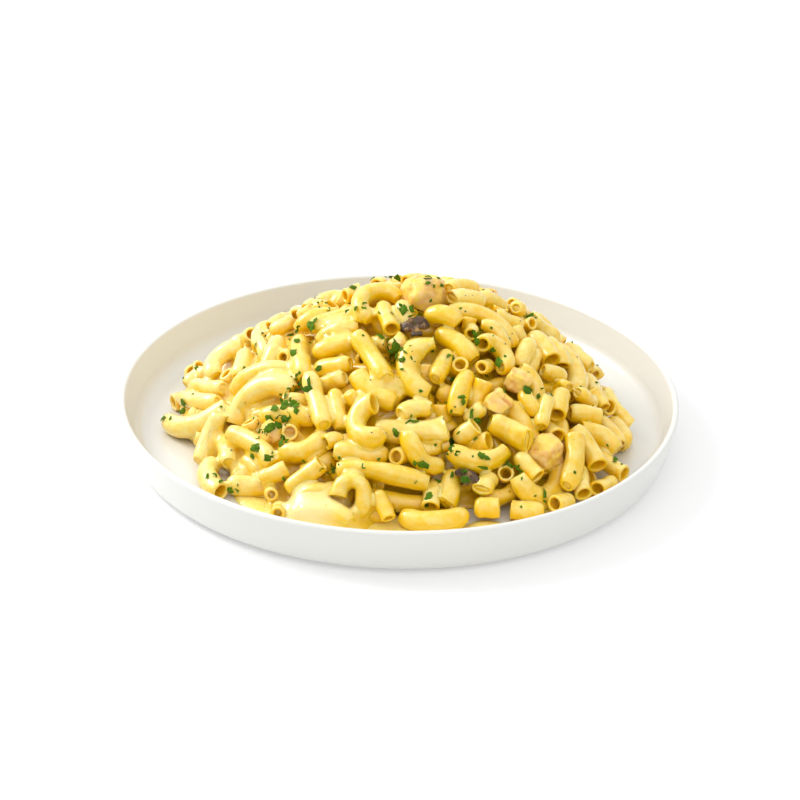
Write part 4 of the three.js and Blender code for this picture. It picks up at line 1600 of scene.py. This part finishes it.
def macaroni_material():
    """Glossy pasta with cream in patches, paler on top for cream and painted top light, with painted shade
    deep in the heap and a painted warm glow in the bores.
    """
    material, tree, surface = new_material("macaroni")
    tone = maths(tree, "MULTIPLY", value_of(tree, "tone"), 0.35)
    cover = cream_on(tree, {
        "Patch Size": 5.0, "Roughness": 0.6, "Tone": tone, "Upward": 0.3,
        "Bare Below": 0.62, "Full Above": 1.15})
    skin = blend(tree, cover, colour(245, 201, 3), colour(253, 231, 146))
    # Painted shade: deeper in the heap the pasta is coloured darker.
    skin = blend(tree, value_of(tree, "deep"), skin, colour(226, 187, 6))
    # Inside the bores: bare pasta without cream, painted a warm yellow for light that glows through the
    # wall and bounces inside.
    skin = blend(tree, value_of(tree, "bore"), skin, colour(247, 207, 26))
    plug(tree, surface["Base Color"], skin)
    uneven_gloss(tree, surface, 3.0, 0.26, 0.4)
    creamy(surface, 1.0)
    bumped(tree, surface, noise_in(tree, 3.4), 0.3, 0.5)
    return material


def sauce_material():
    """Thick cream, with painted shade in the gaps, paler on top for cream and painted top light, and palest
    where it ran together.
    """
    material, tree, surface = new_material("cheese_sauce")
    cover = cream_on(tree, {"Patch Size": 9.0, "Upward": 0.4, "Bare Below": 0.45, "Full Above": 1.15})
    cream = blend(tree, cover, colour(245, 201, 4), colour(253, 231, 148))
    cream = blend(tree, value_of(tree, "pooled"), cream, colour(255, 234, 176))
    # Painted shade in the gaps.
    cream = blend(tree, value_of(tree, "deep"), cream, colour(230, 192, 18))
    plug(tree, surface["Base Color"], cream)
    uneven_gloss(tree, surface, 4.0, 0.28, 0.4)
    creamy(surface, 1.0)
    bumped(tree, surface, noise_in(tree, 2.5, 3.0, 0.6), 0.25, 0.4)
    return material


def puddle_material():
    """Thin cream on the plate."""
    material, tree, surface = new_material("thin_sauce")
    patch = noise_in(tree, 6.0, 3.0)
    plug(tree, surface["Base Color"], blend(tree, patch, colour(254, 224, 112), colour(255, 232, 146)))
    uneven_gloss(tree, surface, 6.0, 0.2, 0.34, 3.0)
    creamy(surface, 0.4)
    return material


def chicken_material():
    """Cooked breast with fine strands and painted shade in its clefts, partly under cream."""
    material, tree, surface = new_material("chicken_breast")
    strands = remap(tree, value_of(tree, "strands"), -1.6, 1.6, 0, 1)
    meat = ramp(tree, strands,
                (0.1, colour(226, 172, 92)), (0.5, colour(240, 196, 118)), (0.9, colour(250, 216, 150)))
    # Painted shade: the clefts are coloured a darker brown.
    meat = blend(tree, value_of(tree, "clefts"), meat, colour(218, 150, 54))
    cover = cream_on(tree, {
        "Patch Size": 6.0, "Roughness": 0.6, "Bare Below": 0.4, "Full Above": 0.56, "Most": 0.85})
    plug(tree, surface["Base Color"], blend(tree, cover, meat, colour(254, 218, 96)))
    plug(tree, surface["Roughness"], remap(tree, cover, 0, 0.85, 0.48, 0.32))
    creamy(surface, 0.2)
    bumped(tree, surface, noise_in(tree, 0.8, 3.0, 0.6), 0.25, 0.3)
    return material


def mushroom_material():
    """Brown flesh, dark skin and gills, and a little cream."""
    material, tree, surface = new_material("cooked_mushroom")
    flesh = blend(tree, noise_in(tree, 2.5, 3.0), colour(96, 62, 30), colour(156, 110, 62))
    skin = remap(tree, value_of(tree, "edge"), 0.5, 0.95, 0, 1)
    flesh = blend(tree, skin, flesh, colour(52, 34, 16))
    gills = remap(tree, value_of(tree, "gills"), 0.3, 0.9, 0, 0.8)
    flesh = blend(tree, gills, flesh, colour(64, 42, 22))
    cover = cream_on(tree, {"Patch Size": 3.0, "Bare Below": 0.52, "Full Above": 0.72, "Most": 0.55})
    plug(tree, surface["Base Color"], blend(tree, cover, flesh, colour(206, 160, 82)))
    plug(tree, surface["Roughness"], remap(tree, cover, 0, 0.9, 0.42, 0.3))
    surface["Coat Weight"].default_value = 0.15
    bumped(tree, surface, noise_in(tree, 0.7, 3.0), 0.3, 0.3)
    return material


def parsley_material():
    """Chopped leaf, darker in places."""
    material, tree, surface = new_material("parsley")
    green = blend(tree, noise_in(tree, 1.6), colour(40, 80, 4), colour(112, 148, 24))
    darker = remap(tree, noise_in(tree, 16.0, 1.0), 0.5, 0.65, 0, 0.6)
    plug(tree, surface["Base Color"], blend(tree, darker, green, colour(46, 92, 8)))
    uneven_gloss(tree, surface, 0.9, 0.35, 0.6)
    surface["Subsurface Weight"].default_value = 0.1
    surface["Subsurface Scale"].default_value = 0.0004
    surface["Specular IOR Level"].default_value = 0.12
    bumped(tree, surface, noise_in(tree, 0.5), 0.4, 0.2)
    return material


def pepper_material():
    """Brown to black specks."""
    material, tree, surface = new_material("pepper")
    dark = blend(tree, noise_in(tree, 3.0), colour(40, 28, 20), colour(96, 60, 30))
    plug(tree, surface["Base Color"], dark)
    uneven_gloss(tree, surface, 1.0, 0.5, 0.8)
    return material


def plate_material():
    """White glaze with hardly a change of tone."""
    material, tree, surface = new_material("white_glaze")
    patch = noise_in(tree, 60.0, 0.0)
    plug(tree, surface["Base Color"], blend(tree, patch, colour(225, 225, 220), colour(227, 227, 222)))
    surface["Roughness"].default_value = 0.29
    surface["Coat Weight"].default_value = 0.3
    surface["Coat Roughness"].default_value = 0.12
    return material


# ================================================================ light, floor and camera
# The room is brighter on one side: how far a way points to that side, and how bright it is there.
BRIGHT_SIDE = (-0.25, 0.45, 0.86)
SKY_DARK_AT, SKY_BRIGHT_AT = -0.6, 0.75
SKY_DARK, SKY_BRIGHT = 0.22, 1.08
FLOOR_REACH = 4000.0
FLOOR_GREYS = (0.68, 0.68, 0.68, 1), (0.69, 0.69, 0.69, 1)
FLOOR_GLOW = 0.25
LAMPS = (  # name, place, width and power of lamps that point at the middle of the plate
    ("window", (-0.9, 0.36, 0.8), 0.6, 9.8),
    ("fill", (0.4, -1.0, 1.05), 1.4, 5.6),
)
CAMERA_AT = Vector((0.0005, -0.8603, 0.4691))
CAMERA_DOWN = 27.72
CAMERA_ROLL = 1.10
CAMERA_LENS = 90.0


def room():
    """Light from all round, brighter on one side."""
    world = bpy.data.worlds.new("room")
    bpy.context.scene.world = world
    world.use_nodes = True
    tree = world.node_tree
    way = vector_maths(tree, "NORMALIZE", add(tree, "ShaderNodeTexCoord", out="Generated"))
    lit = vector_maths(tree, "DOT_PRODUCT", way, BRIGHT_SIDE)
    glow = tree.nodes["Background"].inputs
    plug(tree, glow["Strength"], remap(tree, lit, SKY_DARK_AT, SKY_BRIGHT_AT, SKY_DARK, SKY_BRIGHT))
    glow["Color"].default_value = (1.0, 1.0, 1.0, 1)
    bpy.context.scene.view_settings.view_transform = "Standard"


def paper_floor():
    """A wide pale floor that glows a little, like paper lit from behind."""
    material, tree, surface = new_material("paper_floor")
    plug(tree, surface["Base Color"], blend(tree, noise_in(tree, 300.0), *FLOOR_GREYS))
    surface["Roughness"].default_value = 0.9
    surface["Emission Color"].default_value = (1, 1, 1, 1)
    surface["Emission Strength"].default_value = FLOOR_GLOW
    corners = [(FLOOR_REACH * x, FLOOR_REACH * y, 0) for x, y in ((-1, -1), (1, -1), (1, 1), (-1, 1))]
    floor = bpy.data.objects.new("floor", mesh_of("floor", corners, [(0, 1, 2, 3)]))
    floor.data.materials.append(material)
    bpy.context.scene.collection.objects.link(floor)


def lamps():
    """A window on the left and a weaker, broader light from the front."""
    for name, at, width, power in LAMPS:
        light = bpy.data.lights.new(name, "AREA")
        light.size = width
        light.energy = power
        lamp = bpy.data.objects.new(name, light)
        lamp.location = at
        lamp.rotation_euler = (-Vector(at)).to_track_quat("-Z", "Y").to_euler()
        bpy.context.scene.collection.objects.link(lamp)


def camera():
    """The view from the front, a little from above."""
    data = bpy.data.cameras.new("camera")
    data.lens = CAMERA_LENS
    data.sensor_width = 36.0
    data.clip_start = 0.05
    eye = bpy.data.objects.new("camera", data)
    down = Matrix.Rotation(math.radians(90 - CAMERA_DOWN), 4, "X")
    roll = Matrix.Rotation(math.radians(CAMERA_ROLL), 4, "Z")
    eye.matrix_world = Matrix.Translation(CAMERA_AT) @ down @ roll
    bpy.context.scene.collection.objects.link(eye)
    bpy.context.scene.camera = eye


# ================================================================ the whole plate of food
camera()
room()
paper_floor()
lamps()
shown("plate_glazed", plate_mesh(), plate_material(), ["plate"])
noodles = noodle_layout()
pasta = noodle_pieces(noodles, macaroni_material())
sauce = shown("sauce", sauce_mesh(noodles, SAUCE_CELL), sauce_material(), ["pasta_heap"])
shown("sauce_puddle", puddle_mesh(), puddle_material())
garnish(Landing([*pasta, sauce, *topping_pieces()]))
